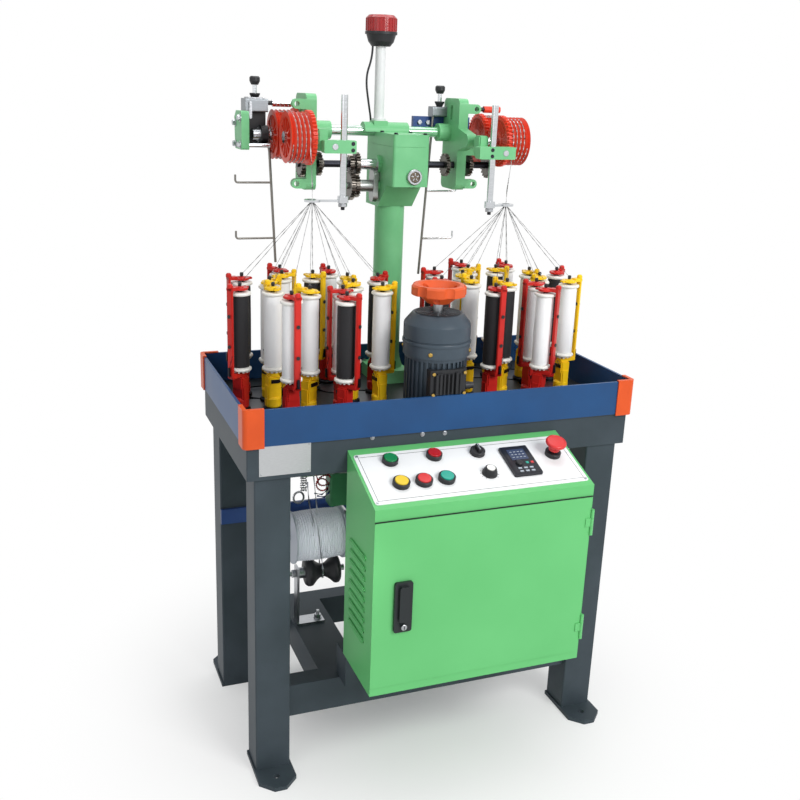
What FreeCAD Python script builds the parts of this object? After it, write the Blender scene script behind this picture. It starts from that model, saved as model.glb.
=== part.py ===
"""Two-head cord braiding machine: stand, gear table, sixteen horn gears, column and two take-ups.

Millimetres, X to the right, Y to the back, Z up. The origin lies on the floor under the table's centre.
"""
import FreeCAD
import Part
import math
import os

V = FreeCAD.Vector
X_AXIS = V(1, 0, 0)
Y_AXIS = V(0, 1, 0)
Z_AXIS = V(0, 0, 1)

# ---- Clearances ----
RUN_FIT = 0.05          # radial, shaft in its bearing bore
FREE_GAP = 0.5          # between bodies that pass each other
LOOSE_GAP = 2.0         # round a part that only passes through a hole

# ---- Stand ----
TABLE_TOP = 818.0
LEG_SIZE = 80.0
LEG_WALL = 4.0
LEG_INSET_X = 17.0
LEG_INSET_Y = 7.0
FOOT_THICK = 10.0
FOOT_WIDTH = 88.0
FOOT_REACH = 73.5       # beyond the leg's outer face
FOOT_CHAMFER = 30.0
FOOT_HOLE = 14.0
FOOT_HOLE_EDGE = 40.0   # from the end of the foot plate
RAIL_BOTTOM = 129.0
RAIL_HEIGHT = 80.0
RAIL_DEPTH = 50.0
CROSS_RAIL_X = -228.0   # centre of the wide rail that runs front to back
CROSS_RAIL_WIDTH = 100.0
PROP_WIDTH = 24.0       # spacer blocks between the front rail and the control box
PROP_LAP = 20.0

# ---- Table ----
TRAY_GAP_X = 6.7        # from the outermost carrier foot to the table's side
TRAY_GAP_Y = 8.0        # from the motor's foot to the table's front
APRON_HEIGHT = 85.0
APRON_WALL = 10.0
DECK_THICK = 12.0
BASE_THICK = 10.0
BLANK_PLATE = (112.0, 68.0, 1.0)
BLANK_PLATE_X = -434.0
BLANK_PLATE_Z = 742.0
SKIRT_HEIGHT = 72.0
SKIRT_THICK = 6.0
SKIRT_LAP = 8.0         # down over the table's edge
CAP_WIDTH = 42.0
CAP_THICK = 3.0
CAP_OVER = 3.0          # above and below the skirt

# ---- Gears under the deck ----
MODULE = 5.0
CENTRE_X = -10.0        # line of motor, main gear and column
HEAD_Y = 20.0
HORNS_PER_HEAD = 8
HORN_TEETH = 20
MAIN_TEETH = 24
IDLER_TEETH = 18
PINION_TEETH = 10
COLUMN_TEETH = 16
GEAR_DROP = 68.0        # from the deck's top to the gears' underside
GEAR_THICK = 16.0
STUD_R = 10.0
HUB_R = 17.0
HORN_PLATE_RISE = 28.0  # from the gear's underside to the horn plate's
HORN_PLATE_THICK = 8.0
HORN_PLATE_GAP = 0.5    # from the plate's rim to the line where two gears meet
HORN_NOTCHES = 4
LEAD_TEETH = 2          # teeth that each horn gear has turned past its carriers' dead centre
ISLAND_POST_R = 25.0

# ---- Carriers ----
PIN_R = 4.5
TRACK_PLAY = 0.5        # each side of a carrier's pin
CARRIER_LIFT = 0.4      # foot above the deck
FOOT_DISC_R = 22.0
FOOT_DISC_THICK = 8.0
STEM_WIDTH = 22.0
STEM_DEPTH = 34.0
POST_OFFSET = 31.5      # from the bobbin's axis to the post's middle
POST_WIDTH = 18.0
POST_THICK = 6.0
ARM_LOW = 82.0          # from the deck to the lower arm's underside
ARM_THICK = 9.0
BOBBIN_SEAT_GAP = 4.0
BOBBIN_LENGTH = 178.0
BOBBIN_R = 25.0
BOBBIN_CORE_R = 18.0
BOBBIN_FLANGE = 5.0
SPINDLE_R = 5.0
TOP_ARM_GAP = 4.0

# ---- Column and gearbox ----
COLUMN_R = 36.0
COLUMN_FOOT = (90.0, 125.0, 32.0)
COLUMN_FLARE = 36.0
COLUMN_BASE_DY = -2.5   # the foot block's centre from the column's axis
GEARBOX_X = (-54.0, 34.0)
GEARBOX_Y = (38.0, 225.0)
GEARBOX_TOP = 1428.0
GEARBOX_FRONT_LOW = 1311.0
GEARBOX_BACK_LOW = 1256.0
GEARBOX_WALL = 8.0
COVER_THICK = 28.0
PORT_X = -2.0
PORT_Z = 1334.0
PORT_R = 18.0
BOX_BAR_R = 12.0
CLAMP_R = 21.0
CLAMP_X = (-82.0, 30.0)
BAR_RISE = 1.0          # bar's axis above the gearbox's top

# ---- Drive up the column ----
COLUMN_SHAFT_R = 9.0
WORM_R = 12.0
WORM_LENGTH = 36.0
SHAFT_Z = 1355.0
SHAFT_R = 8.0
WORM_WHEEL_R = 24.0
WORM_WHEEL_THICK = 18.0
CHANGE_MODULE = 2.5
CHANGE_A_TEETH = 20
CHANGE_B_TEETH = 20
CHANGE_C_TEETH = 25
CHANGE_D_TEETH = 15
CHANGE_THICK = 10.0
CHANGE_X = -111.0       # middle of the upper pair
CHANGE_STEP = 14.0      # from one pair's middle to the next
LAY_STUD_R = 8.0
LAY_STUD_END = 5.0
SLEEVE_OVERHANG = 12.0
SHAFT_OVERHANG = 4.0

# ---- Take-ups ----
WHEEL_MODULE = 3.0
WHEEL_TEETH = 38
WHEEL_PINION_TEETH = 19
WHEEL_WIDTH = 58.0
WHEEL_R = 56.0
WHEEL_GROOVES = 5
GROOVE_DEPTH = 7.0
WHEEL_RIM = 10.0        # toothed flange
WHEEL_DY = 60.0         # each wheel's axle before and behind the through shaft
AXLE_R = 8.0
LEFT_WHEEL_X = -298.0
RIGHT_WHEEL_X = 226.0
LEFT_PLATE_X = -238.0
RIGHT_PLATE_X = 139.0
PLATE_THICK = 24.0
PLATE_Z = (1296.0, 1510.0)
PLATE_Y = (115.0, 206.0)
HUB_LEFT = 50.0
HUB_RIGHT = 29.0
HUB_OUTER_R = 21.0
BAR_DY = 8.0            # bar's axis behind the column's
GUIDE_LEFT = (-204.0, 15.0, 1401.0)
GUIDE_RIGHT = (206.0, 0.0, 1393.0)
GUIDE_ROD_R = 7.0
GUIDE_BLOCK_LEFT = (-229.0, -155.0)
GUIDE_BLOCK_RIGHT = (139.0, 231.0)
GUIDE_BLOCK_HIGH = 28.0
GUIDE_BLOCK_DEEP = 24.0
GUIDE_WALL = 7.0
GUIDE_BOSS = 30.0
GUIDE_POST_LEFT = -181.0
GUIDE_POST_RIGHT = 177.0
GUIDE_POST = 233.0
AXLE_BOSS_R = 16.0
AXLE_CAP = 4.0
REAR_AXLE_EXTRA = 46.0
WHEEL_DISH = 9.0
LUG_R = 11.0
LUG_REACH = 22.0
NIP_PLATE_X = (-378.0, -360.0)
NIP_PLATE_Y = (156.0, 232.0)
NIP_PLATE_Z = (1382.0, 1467.0)
NIP_BACK_DEEP = 26.0    # black body behind the axle
NIP_HEAD_HIGH = 27.0    # bright block that carries the roller and the screw
NIP_HEAD_DEEP = 50.0
NIP_ROD_R = 5.0
NIP_COLLAR_R = 20.0
NIP_COLLAR = 16.0
NIP_GAP = 12.0          # room for the wire stand beside the wheel
NIP_CAP_R = 13.0
NIP_ROLLER_R = 8.0
NIP_BAR_X = (58.0, 209.0)
NIP_BAR_Z = (1437.0, 1465.0)
NIP_BAR_THICK = 12.0
NIP_BLOCK = (38.0, 31.0, 24.0)
SWING_ARM_THICK = 12.0   # cast arm beside the gearbox, round the lay stud
SWING_ARM_R = 16.0
SWING_ARM_RISE = 24.0
SWING_ARM_DROP = 22.0
RING_Z_LEFT = 1286.0
RING_Z_RIGHT = 1274.0
RING_R = 18.0
RING_HOLE_R = 9.0
RING_THICK = 5.0
POST_ROD_R = 7.5
WIRE_R = 3.0
LEFT_STAND_TOP_X = -306.5
LEFT_STAND_FOOT_X = -290.0
STAND_CLEAR = 14.0      # left stand's foot above the carriers
LEFT_ARMS = ((1306.0, 85.0), (1176.0, 92.0))
RIGHT_STAND_TOP_X = 104.5
RIGHT_STAND_FOOT = (83.0, 1078.0)
RIGHT_ARMS = ((1286.0, 82.0), (1168.0, 84.0))

# ---- Beacon ----
POLE_X = -42.0
POLE_R = 12.0
BEACON_BASE_R = 30.0
BEACON_BASE = 30.0
BEACON_R = 36.0
POLE_LENGTH = 167.0
BEACON_HIGH = 68.0      # base and lens together
POLE_BASE_R = 17.0
POLE_SEAT_RISE = 24.0    # from the bar's axis to the pole's seat
CABLE_R = 2.5
CABLE_BEHIND = 32.0     # behind the pole where the cable enters the gearbox lid

# ---- Motor ----
MOTOR_R = 70.0
MOTOR_FIN = 5.0
MOTOR_FINS = 36
MOTOR_TOP = 966.0
COWL_R = 75.0
COWL_HIGH = 94.0
COWL_TOP_R = 56.0
COWL_SKIRT = 30.0
MOTOR_BAND = 14.0
TERMINAL_BOX = (87.0, 77.0, 61.0)   # across, out from the motor's axis, high
TERMINAL_DROP = 20.0    # its top below the motor frame's
MOTOR_SHAFT_R = 11.0
HAND_WHEEL_R = 61.0
HAND_WHEEL_GAP = 20.0
HAND_WHEEL_HIGH = 41.0
HAND_WHEEL_SCALLOPS = 6

# ---- Control box ----
BOX_X = (-240.0, 269.0)
BOX_DEPTH = 182.0
BOX_BOTTOM = 286.0
BOX_FRONT_TOP = 718.0
BOX_SLOPE = 19.4
BOX_WALL = 3.0
DOOR_LEFT = -241.0
DOOR_Z = (307.0, 690.0)
DOOR_THICK = 3.0
DOOR_LIP = 12.0
DOOR_RIM = 12.0         # from the door's edge to its folded lip
LOCK_X = -174.0
LOCK_Z = (437.0, 553.0)
LOCK_WIDTH = 40.0
LOUVRES = 9
LOUVRE_Z = (392.0, 586.0)
LOUVRE_Y = (46.0, 147.0)  # behind the box's front
LOUVRE_SLIT = 6.0
HINGES_Z = ((360.0, 380.0), (620.0, 640.0))
HINGE_R = 4.0
HINGE_PART = 20.0
PANEL_MARGIN_X = 6.0
PANEL_MARGIN_LOW = 14.0
PANEL_MARGIN_HIGH = 20.0

# ---- Controls: place along the panel, then up its slope from the front edge ----
PANEL_PLATE = 1.5
LAMPS = {"green": (-160.6, 142.0), "red": (-57.7, 144.0)}
BUTTONS = {"yellow_button": (-161.0, 67.6), "red_button": (-110.0, 66.8), "teal_button": (-57.7, 67.2)}
SELECTOR = (44.9, 140.4)
SPEED_KNOB = (44.9, 70.0)
DISPLAY = (131.0, 96.0)
DISPLAY_SIZE = (68.0, 95.0, 6.0)
ESTOP = (218.6, 109.4)
BEZEL_R = 15.0
BEZEL_RISE = 4.0
LAMP_R = 12.0
LAMP_RISE = 11.0
CAP_R = 11.5
CAP_RISE = 9.0
GRIP_WIDTH = 7.0
CONTROL_STEM_R = 5.0
CONTROL_DEPTH = 30.0
ESTOP_R = 20.0
ESTOP_RISE = 38.0
ESTOP_COLLAR = 10.0
ESTOP_COLLAR_R = 15.0
ESTOP_TRAVEL = 4.0

# ---- Cord spool and guide roller under the table ----
SHELF_BAR = (471.0, 510.0, 138.0, 146.0)
SPOOL_X = (-287.0, -154.0)
SPOOL_Y = 60.0
SPOOL_Z = 451.5
SPOOL_R = 67.0
SPOOL_CORE_R = 55.0
SPOOL_FLANGE = 4.0
SPOOL_AXLE_R = 8.0
ROLLER_X = (-250.0, -154.0)
ROLLER_Z = 349.0
ROLLER_R = 31.0
ROLLER_WAIST_R = 12.0
BRACKET_THICK = 6.0
SPOOL_ARM_GAP = 6.0
GREEN_BLOCK_X = (-191.0, -145.0)
GREEN_BLOCK_Z = (531.0, 617.0)

# ---- Yarn and braid ----
YARN_R = 0.7
BRAID_R = 2.5
MEET_R = 4.5            # where the yarns meet under the ring
BRAID_LEAD = 60.0       # the last plumb run below the wheel's axis

# ---- Worked out from the above ----
HORN_R = MODULE * HORN_TEETH / 2
MAIN_R = MODULE * MAIN_TEETH / 2
IDLER_R = MODULE * IDLER_TEETH / 2
PINION_R = MODULE * PINION_TEETH / 2
COLUMN_GEAR_R = MODULE * COLUMN_TEETH / 2
RING_OF_HORNS_R = HORN_R / math.sin(math.pi / HORNS_PER_HEAD)
HEAD_DX = RING_OF_HORNS_R + HORN_R + MAIN_R
HEADS = (("left", CENTRE_X - HEAD_DX), ("right", CENTRE_X + HEAD_DX))
IDLER_Y = HEAD_Y - MAIN_R - IDLER_R
MOTOR_Y = IDLER_Y - IDLER_R - PINION_R
TAKEOFF_Y = HEAD_Y + MAIN_R + PINION_R
COLUMN_Y = TAKEOFF_Y + PINION_R + COLUMN_GEAR_R
FRAME_BOTTOM = TABLE_TOP - APRON_HEIGHT
DECK_BOTTOM = TABLE_TOP - DECK_THICK
BASE_TOP = FRAME_BOTTOM + BASE_THICK
GEAR_Z = TABLE_TOP - GEAR_DROP
HORN_PLATE_Z = GEAR_Z + HORN_PLATE_RISE
TRACK_HALF = PIN_R + TRACK_PLAY
TABLE_WIDTH = 2 * (HEAD_DX - CENTRE_X + RING_OF_HORNS_R + HORN_R + FOOT_DISC_R + TRAY_GAP_X)
TABLE_DEPTH = 2 * (MOTOR_R - MOTOR_Y + TRAY_GAP_Y)
BOX_BACK = -TABLE_DEPTH / 2
BOX_FRONT = BOX_BACK - BOX_DEPTH
DOOR_X = (DOOR_LEFT, BOX_X[1] - HINGE_R - FREE_GAP)
LEG_X = TABLE_WIDTH / 2 - LEG_INSET_X - LEG_SIZE / 2
LEG_Y = TABLE_DEPTH / 2 - LEG_INSET_Y - LEG_SIZE / 2
FOOT_END = LEG_Y + LEG_SIZE / 2 + FOOT_REACH
FOOT_HOLE_Y = FOOT_END - FOOT_HOLE_EDGE
SKIRT_TOP = TABLE_TOP + SKIRT_HEIGHT
BAR_Y = COLUMN_Y + BAR_DY
BAR_Z = GEARBOX_TOP + BAR_RISE
SHAFT_Y = COLUMN_Y - WORM_R - WORM_WHEEL_R
CHANGE_DROP = CHANGE_MODULE * (CHANGE_A_TEETH + CHANGE_B_TEETH) / 2
LAY_Z = SHAFT_Z - CHANGE_DROP
SLEEVE_R = SHAFT_R + FREE_GAP + 4.0
WHEEL_PITCH_R = WHEEL_MODULE * WHEEL_TEETH / 2
WHEEL_REACH = WHEEL_PITCH_R + WHEEL_MODULE * WHEEL_PINION_TEETH / 2
WHEEL_Z = SHAFT_Z + math.sqrt(WHEEL_REACH ** 2 - WHEEL_DY ** 2)
FRONT_WHEEL_Y = SHAFT_Y - WHEEL_DY
REAR_WHEEL_Y = SHAFT_Y + WHEEL_DY
BOBBIN_Z = TABLE_TOP + ARM_LOW + ARM_THICK + BOBBIN_SEAT_GAP
TOP_ARM_Z = BOBBIN_Z + BOBBIN_LENGTH + TOP_ARM_GAP
CARRIER_TOP = TOP_ARM_Z + ARM_THICK
POLE_SEAT_Z = BAR_Z + POLE_SEAT_RISE
POLE_TOP = POLE_SEAT_Z + POLE_LENGTH
BEACON_TOP = POLE_TOP + BEACON_HIGH
COWL_TOP = MOTOR_TOP + COWL_HIGH
HAND_WHEEL_Z = (COWL_TOP + HAND_WHEEL_GAP, COWL_TOP + HAND_WHEEL_GAP + HAND_WHEEL_HIGH)
LEFT_STAND = ((LEFT_STAND_TOP_X, WHEEL_Z), (LEFT_STAND_FOOT_X, CARRIER_TOP + STAND_CLEAR))
RIGHT_STAND = ((RIGHT_STAND_TOP_X, NIP_BAR_Z[1]), RIGHT_STAND_FOOT)


# ---- Shapes used by several pieces ----
def box(x, y, z):
    """A block between the two numbers of each pair."""
    return Part.makeBox(x[1] - x[0], y[1] - y[0], z[1] - z[0], V(x[0], y[0], z[0]))


def cyl(radius, start, axis, length):
    return Part.makeCylinder(radius, length, V(*start), axis)


def upright(radius, x, y, z):
    """A vertical cylinder between the two heights in z."""
    return cyl(radius, (x, y, z[0]), Z_AXIS, z[1] - z[0])


def face_of(points):
    return Part.Face(Part.makePolygon(points + [points[0]]))


def turned(profile, start, axis):
    """A solid turned from (radius, height) points, standing at start along axis."""
    solid = face_of([V(r, 0, h) for r, h in profile]).revolve(V(0, 0, 0), Z_AXIS, 360)
    solid.Placement = FreeCAD.Placement(V(*start), FreeCAD.Rotation(Z_AXIS, axis))
    return solid


def side_profile(points, x):
    """An outline of (y, z) points, as wide as the pair in x."""
    return face_of([V(x[0], y, z) for y, z in points]).extrude(V(x[1] - x[0], 0, 0))


def plan_profile(points, z):
    """An outline of (x, y) points, as tall as the pair in z."""
    return face_of([V(x, y, z[0]) for x, y in points]).extrude(V(0, 0, z[1] - z[0]))


def rounded(solid, radius, along):
    """Fillet the straight edges of solid that run along the given axis."""
    edges = []
    for edge in solid.Edges:
        if edge.Curve.TypeId != "Part::GeomLine":
            continue
        if abs(edge.tangentAt(edge.FirstParameter).dot(along)) > 0.999:
            edges.append(edge)
    return solid.makeFillet(radius, edges)


def fuse(solids):
    return solids[0].multiFuse(solids[1:]).removeSplitter()


def mirrored(solid, centre, normal):
    return solid.mirror(V(*centre), normal)


def rod_path(points, radius, bends):
    """A round wire through points, each inner corner rounded by an arc of its own bend radius."""
    corners = [V(*p) for p in points]
    edges = []
    start = corners[0]
    for i in range(1, len(corners) - 1):
        back = (corners[i - 1] - corners[i]).normalize()
        ahead = (corners[i + 1] - corners[i]).normalize()
        half_angle = back.getAngle(ahead) / 2
        bend = bends[i - 1]
        reach = bend / math.tan(half_angle)
        enter = corners[i] + back * reach
        leave = corners[i] + ahead * reach
        inward = (back + ahead).normalize()
        middle = corners[i] + inward * (bend / math.sin(half_angle) - bend)
        edges.append(Part.LineSegment(start, enter).toShape())
        edges.append(Part.Arc(enter, middle, leave).toShape())
        start = leave
    edges.append(Part.LineSegment(start, corners[-1]).toShape())
    first = (corners[1] - corners[0]).normalize()
    circle = Part.Wire(Part.makeCircle(radius, corners[0], first))
    return Part.Wire(edges).makePipeShell([circle], True, False)


def save(node, solids):
    """Write one node; solids is a shape or a list of separate solids."""
    shape = Part.makeCompound(solids) if isinstance(solids, list) else solids
    for solid in shape.Solids:
        if not solid.isValid() or solid.Volume <= 0:
            raise ValueError("bad solid in " + node)
    shape.exportStep("parts/" + node + ".step")


# ---- Gears ----
def gear_outline(teeth, module, phase):
    """Corner points of a spur gear; straight flanks between root and tip leave the backlash."""
    pressure = math.radians(20)
    pitch_r = teeth * module / 2
    base_r = pitch_r * math.cos(pressure)
    tip_r = pitch_r + 0.9 * module
    root_r = pitch_r - 1.15 * module
    pitch_half = math.pi / (2 * teeth)

    def half_angle(radius):
        roll = math.acos(min(1.0, base_r / radius))
        involute = math.tan(roll) - roll
        return pitch_half + math.tan(pressure) - pressure - involute

    corners = []
    for tooth in range(teeth):
        middle = math.radians(phase) + 2 * math.pi * tooth / teeth
        for radius, side in ((root_r, -1), (tip_r, -1), (tip_r, 1), (root_r, 1)):
            angle = middle + side * half_angle(radius)
            corners.append((radius * math.cos(angle), radius * math.sin(angle)))
    return corners


def gear(teeth, module, phase, thick, start, axis):
    """A spur gear blank; on the X axis its phase counts from +Y towards +Z."""
    solid = plan_profile(gear_outline(teeth, module, phase), (0, thick))
    if axis == X_AXIS:
        turn = FreeCAD.Rotation(Y_AXIS, Z_AXIS, X_AXIS, "ZXY")
        solid.Placement = FreeCAD.Placement(V(*start), turn)
        return solid
    solid.translate(V(*start))
    return solid


def carrier_turn(k):
    """Degrees that horn gear k's carriers stand at from the line out of the head's middle."""
    lead = 360.0 * LEAD_TEETH / HORN_TEETH
    return 90 - lead if k % 2 else lead


def horn_centres(head_x):
    """The eight gear axes of one head, counted from the side that faces +X."""
    for k in range(HORNS_PER_HEAD):
        angle = 2 * math.pi * k / HORNS_PER_HEAD
        x = head_x + RING_OF_HORNS_R * math.cos(angle)
        y = HEAD_Y + RING_OF_HORNS_R * math.sin(angle)
        yield k, x, y, math.degrees(angle)


# ---- Stand ----
def build_stand():
    outer = LEG_SIZE / 2
    inner = outer - LEG_WALL
    tube = box((-outer, outer), (-outer, outer), (FOOT_THICK, FRAME_BOTTOM))
    tube = rounded(tube, LEG_WALL, Z_AXIS)
    tube = tube.cut(box((-inner, inner), (-inner, inner), (FOOT_THICK, FRAME_BOTTOM)))
    half = FOOT_WIDTH / 2
    toe = FOOT_END - LEG_Y
    foot = plan_profile([
        (-half, -outer),
        (half, -outer),
        (half, toe - FOOT_CHAMFER),
        (half - FOOT_CHAMFER, toe),
        (FOOT_CHAMFER - half, toe),
        (-half, toe - FOOT_CHAMFER),
    ], (0, FOOT_THICK))
    foot = foot.cut(upright(FOOT_HOLE / 2, 0, FOOT_HOLE_Y - LEG_Y, (0, FOOT_THICK)))
    leg = fuse([tube, foot])
    leg.translate(V(LEG_X, LEG_Y, 0))
    pieces = [leg, mirrored(leg, (0, 0, 0), X_AXIS)]
    pieces += [mirrored(piece, (0, 0, 0), Y_AXIS) for piece in pieces]
    reach = LEG_X - outer
    rail = box((-reach, reach), (LEG_Y - RAIL_DEPTH / 2, LEG_Y + RAIL_DEPTH / 2),
               (RAIL_BOTTOM, RAIL_BOTTOM + RAIL_HEIGHT))
    pieces += [rail, mirrored(rail, (0, 0, 0), Y_AXIS)]
    cross_y = LEG_Y - RAIL_DEPTH / 2
    pieces.append(box((CROSS_RAIL_X - CROSS_RAIL_WIDTH / 2, CROSS_RAIL_X + CROSS_RAIL_WIDTH / 2),
                      (-cross_y, cross_y), (RAIL_BOTTOM, RAIL_BOTTOM + RAIL_HEIGHT)))
    rail_top = RAIL_BOTTOM + RAIL_HEIGHT
    for left in (BOX_X[0], BOX_X[1] - PROP_WIDTH):
        pieces.append(box((left, left + PROP_WIDTH), (BOX_BACK - PROP_LAP, -LEG_Y), (rail_top, BOX_BOTTOM)))
    save("stand", fuse(pieces))


# ---- Table ----
def build_table_frame():
    x = TABLE_WIDTH / 2
    y = TABLE_DEPTH / 2
    outside = box((-x, x), (-y, y), (FRAME_BOTTOM, DECK_BOTTOM))
    inside = box((APRON_WALL - x, x - APRON_WALL), (APRON_WALL - y, y - APRON_WALL),
                 (BASE_TOP, DECK_BOTTOM))
    frame = rounded(outside, 3, Z_AXIS).cut(inside)
    frame = frame.cut(upright(MOTOR_SHAFT_R + LOOSE_GAP, CENTRE_X, MOTOR_Y, (FRAME_BOTTOM, BASE_TOP)))
    width, height, thick = BLANK_PLATE
    left = BLANK_PLATE_X
    low = BLANK_PLATE_Z
    plate = box((left, left + width), (-y - thick, -y), (low, low + height))
    save("table_frame", [frame, plate])


def build_track_plate():
    """The deck, cut by the carriers' two figure tracks; an island stays inside each ring of gears."""
    x = TABLE_WIDTH / 2
    y = TABLE_DEPTH / 2
    z = (DECK_BOTTOM, TABLE_TOP)
    deck = rounded(box((-x, x), (-y, y), z), 3, Z_AXIS)
    pieces = []
    for name, head_x in HEADS:
        crossings_r = RING_OF_HORNS_R * math.cos(math.pi / HORNS_PER_HEAD)
        middle = upright(crossings_r, head_x, HEAD_Y, z)
        tracks = fuse([upright(HORN_R + TRACK_HALF, gx, gy, z) for k, gx, gy, angle in horn_centres(head_x)])
        deck = deck.cut(middle).cut(tracks)
        post = upright(ISLAND_POST_R, head_x, HEAD_Y, (BASE_TOP, DECK_BOTTOM))
        pieces.append(fuse([middle.cut(tracks), post]))
    deck = deck.cut(upright(MOTOR_SHAFT_R + LOOSE_GAP, CENTRE_X, MOTOR_Y, z))
    deck = deck.cut(upright(COLUMN_SHAFT_R + LOOSE_GAP, CENTRE_X, COLUMN_Y, z))
    save("track_plate", [deck] + pieces)


def build_skirt():
    """Four upright plates round the table's edge, and a folded cap over each corner."""
    x = TABLE_WIDTH / 2
    y = TABLE_DEPTH / 2
    z = (TABLE_TOP - SKIRT_LAP, SKIRT_TOP)
    out_x = x + SKIRT_THICK
    out_y = y + SKIRT_THICK
    walls = box((-out_x, out_x), (-out_y, out_y), z)
    walls = rounded(walls, 8, Z_AXIS).cut(box((-x, x), (-y, y), z))
    save("skirt_panels", walls)
    low = z[0] - CAP_OVER
    high = z[1] + CAP_OVER
    cap_x = out_x + CAP_THICK
    cap_y = out_y + CAP_THICK
    cap = box((out_x - CAP_WIDTH, cap_x), (out_y - CAP_WIDTH, cap_y), (low, high))
    edge = [e for e in cap.Edges if e.BoundBox.XMin > cap_x - 1 and e.BoundBox.YMin > cap_y - 1]
    cap = cap.makeFillet(8 + CAP_THICK, edge)
    cap = cap.cut(rounded(box((-out_x, out_x), (-out_y, out_y), z), 8, Z_AXIS))
    cap = cap.cut(box((0, x), (0, y), (low, high)))
    cap = cap.cut(box((0, out_x), (0, out_y), (low, z[0])))
    caps = [cap, mirrored(cap, (0, 0, 0), X_AXIS)]
    caps += [mirrored(piece, (0, 0, 0), Y_AXIS) for piece in caps]
    save("corner_caps", caps)


# ---- Gears and carriers ----
def build_studs():
    """Fixed studs; those under a horn gear carry a quoit, the disc inside the carriers' track."""
    studs = []
    for name, head_x in HEADS:
        for k, x, y, angle in horn_centres(head_x):
            profile = [
                (0, BASE_TOP),
                (HUB_R, BASE_TOP),
                (HUB_R, GEAR_Z - FREE_GAP),
                (STUD_R, GEAR_Z - FREE_GAP),
                (STUD_R, DECK_BOTTOM),
                (HORN_R - TRACK_HALF, DECK_BOTTOM),
                (HORN_R - TRACK_HALF, TABLE_TOP),
                (0, TABLE_TOP),
            ]
            studs.append(turned(profile, (x, y, 0), Z_AXIS))
    for y in (HEAD_Y, IDLER_Y, TAKEOFF_Y):
        profile = [
            (0, BASE_TOP),
            (HUB_R, BASE_TOP),
            (HUB_R, GEAR_Z - FREE_GAP),
            (STUD_R, GEAR_Z - FREE_GAP),
            (STUD_R, GEAR_Z + GEAR_THICK + 4),
            (0, GEAR_Z + GEAR_THICK + 4),
        ]
        studs.append(turned(profile, (CENTRE_X, y, 0), Z_AXIS))
    save("gear_studs", studs)


def stud_bore(x, y, z):
    return upright(STUD_R + RUN_FIT, x, y, z)


def carrier():
    """One carrier, pin at the origin and post on the +X side, with its bobbin as a second solid."""
    foot_z = TABLE_TOP + CARRIER_LIFT
    body = [
        upright(PIN_R, 0, 0, (HORN_PLATE_Z, foot_z)),
        upright(FOOT_DISC_R, 0, 0, (foot_z, foot_z + FOOT_DISC_THICK)),
        box((-STEM_WIDTH / 2, STEM_WIDTH / 2), (-STEM_DEPTH / 2, STEM_DEPTH / 2),
            (foot_z, TABLE_TOP + ARM_LOW)),
    ]
    post_in = POST_OFFSET - POST_THICK / 2
    post_out = POST_OFFSET + POST_THICK / 2
    arm_low = TABLE_TOP + ARM_LOW
    outline = [
        (-STEM_WIDTH / 2, arm_low),
        (post_out, arm_low),
        (post_out, CARRIER_TOP),
        (-SPINDLE_R * 2, CARRIER_TOP),
        (-SPINDLE_R * 2, TOP_ARM_Z),
        (post_in, TOP_ARM_Z),
        (post_in, arm_low + ARM_THICK),
        (-STEM_WIDTH / 2, arm_low + ARM_THICK),
    ]
    frame = face_of([V(px, -POST_WIDTH / 2, pz) for px, pz in outline]).extrude(V(0, POST_WIDTH, 0))
    body.append(frame)
    low = BOBBIN_Z
    high = BOBBIN_Z + BOBBIN_LENGTH
    bobbin = turned([
        (0, arm_low + ARM_THICK),
        (SPINDLE_R, arm_low + ARM_THICK),
        (SPINDLE_R, low),
        (BOBBIN_R, low),
        (BOBBIN_R, low + BOBBIN_FLANGE),
        (BOBBIN_CORE_R, low + BOBBIN_FLANGE),
        (BOBBIN_CORE_R, high - BOBBIN_FLANGE),
        (BOBBIN_R, high - BOBBIN_FLANGE),
        (BOBBIN_R, high),
        (SPINDLE_R, high),
        (SPINDLE_R, TOP_ARM_Z),
        (0, TOP_ARM_Z),
    ], (0, 0, 0), Z_AXIS)
    return [fuse(body), bobbin]


def build_horn_gears():
    """Each horn gear turns on its stud with two carriers, its toothed rim below its notched plate."""
    bare = []
    for parity in (0, 1):
        phase = parity * 180.0 / HORN_TEETH
        rim = gear(HORN_TEETH, MODULE, phase, GEAR_THICK, (0, 0, GEAR_Z), Z_AXIS)
        hub = upright(HUB_R, 0, 0, (GEAR_Z, HORN_PLATE_Z))
        plate = upright(HORN_R - HORN_PLATE_GAP, 0, 0, (HORN_PLATE_Z, HORN_PLATE_Z + HORN_PLATE_THICK))
        solid = fuse([rim, hub, plate])
        for notch in range(HORN_NOTCHES):
            angle = 2 * math.pi * notch / HORN_NOTCHES
            x = HORN_R * math.cos(angle)
            y = HORN_R * math.sin(angle)
            clear = 0 if notch % 2 == parity else TRACK_PLAY + FREE_GAP
            solid = solid.cut(upright(PIN_R + clear, x, y, (HORN_PLATE_Z, HORN_PLATE_Z + HORN_PLATE_THICK)))
        bare.append(solid.cut(stud_bore(0, 0, (GEAR_Z, HORN_PLATE_Z + HORN_PLATE_THICK))))
    frame, bobbin = carrier()
    for name, head_x in HEADS:
        for k, x, y, angle in horn_centres(head_x):
            parity = k % 2
            pieces = [bare[parity].copy()]
            for side in (0, 1):
                for part in (frame, bobbin):
                    piece = part.copy()
                    piece.translate(V(HORN_R, 0, 0))
                    piece.rotate(V(0, 0, 0), Z_AXIS, 90 * parity + 180 * side)
                    pieces.append(piece)
            for piece in pieces:
                piece.rotate(V(0, 0, 0), Z_AXIS, angle + carrier_turn(k) - 90 * parity)
                piece.translate(V(x, y, 0))
            save("horn_gear_" + name + "_" + str(k + 1), pieces)


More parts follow.
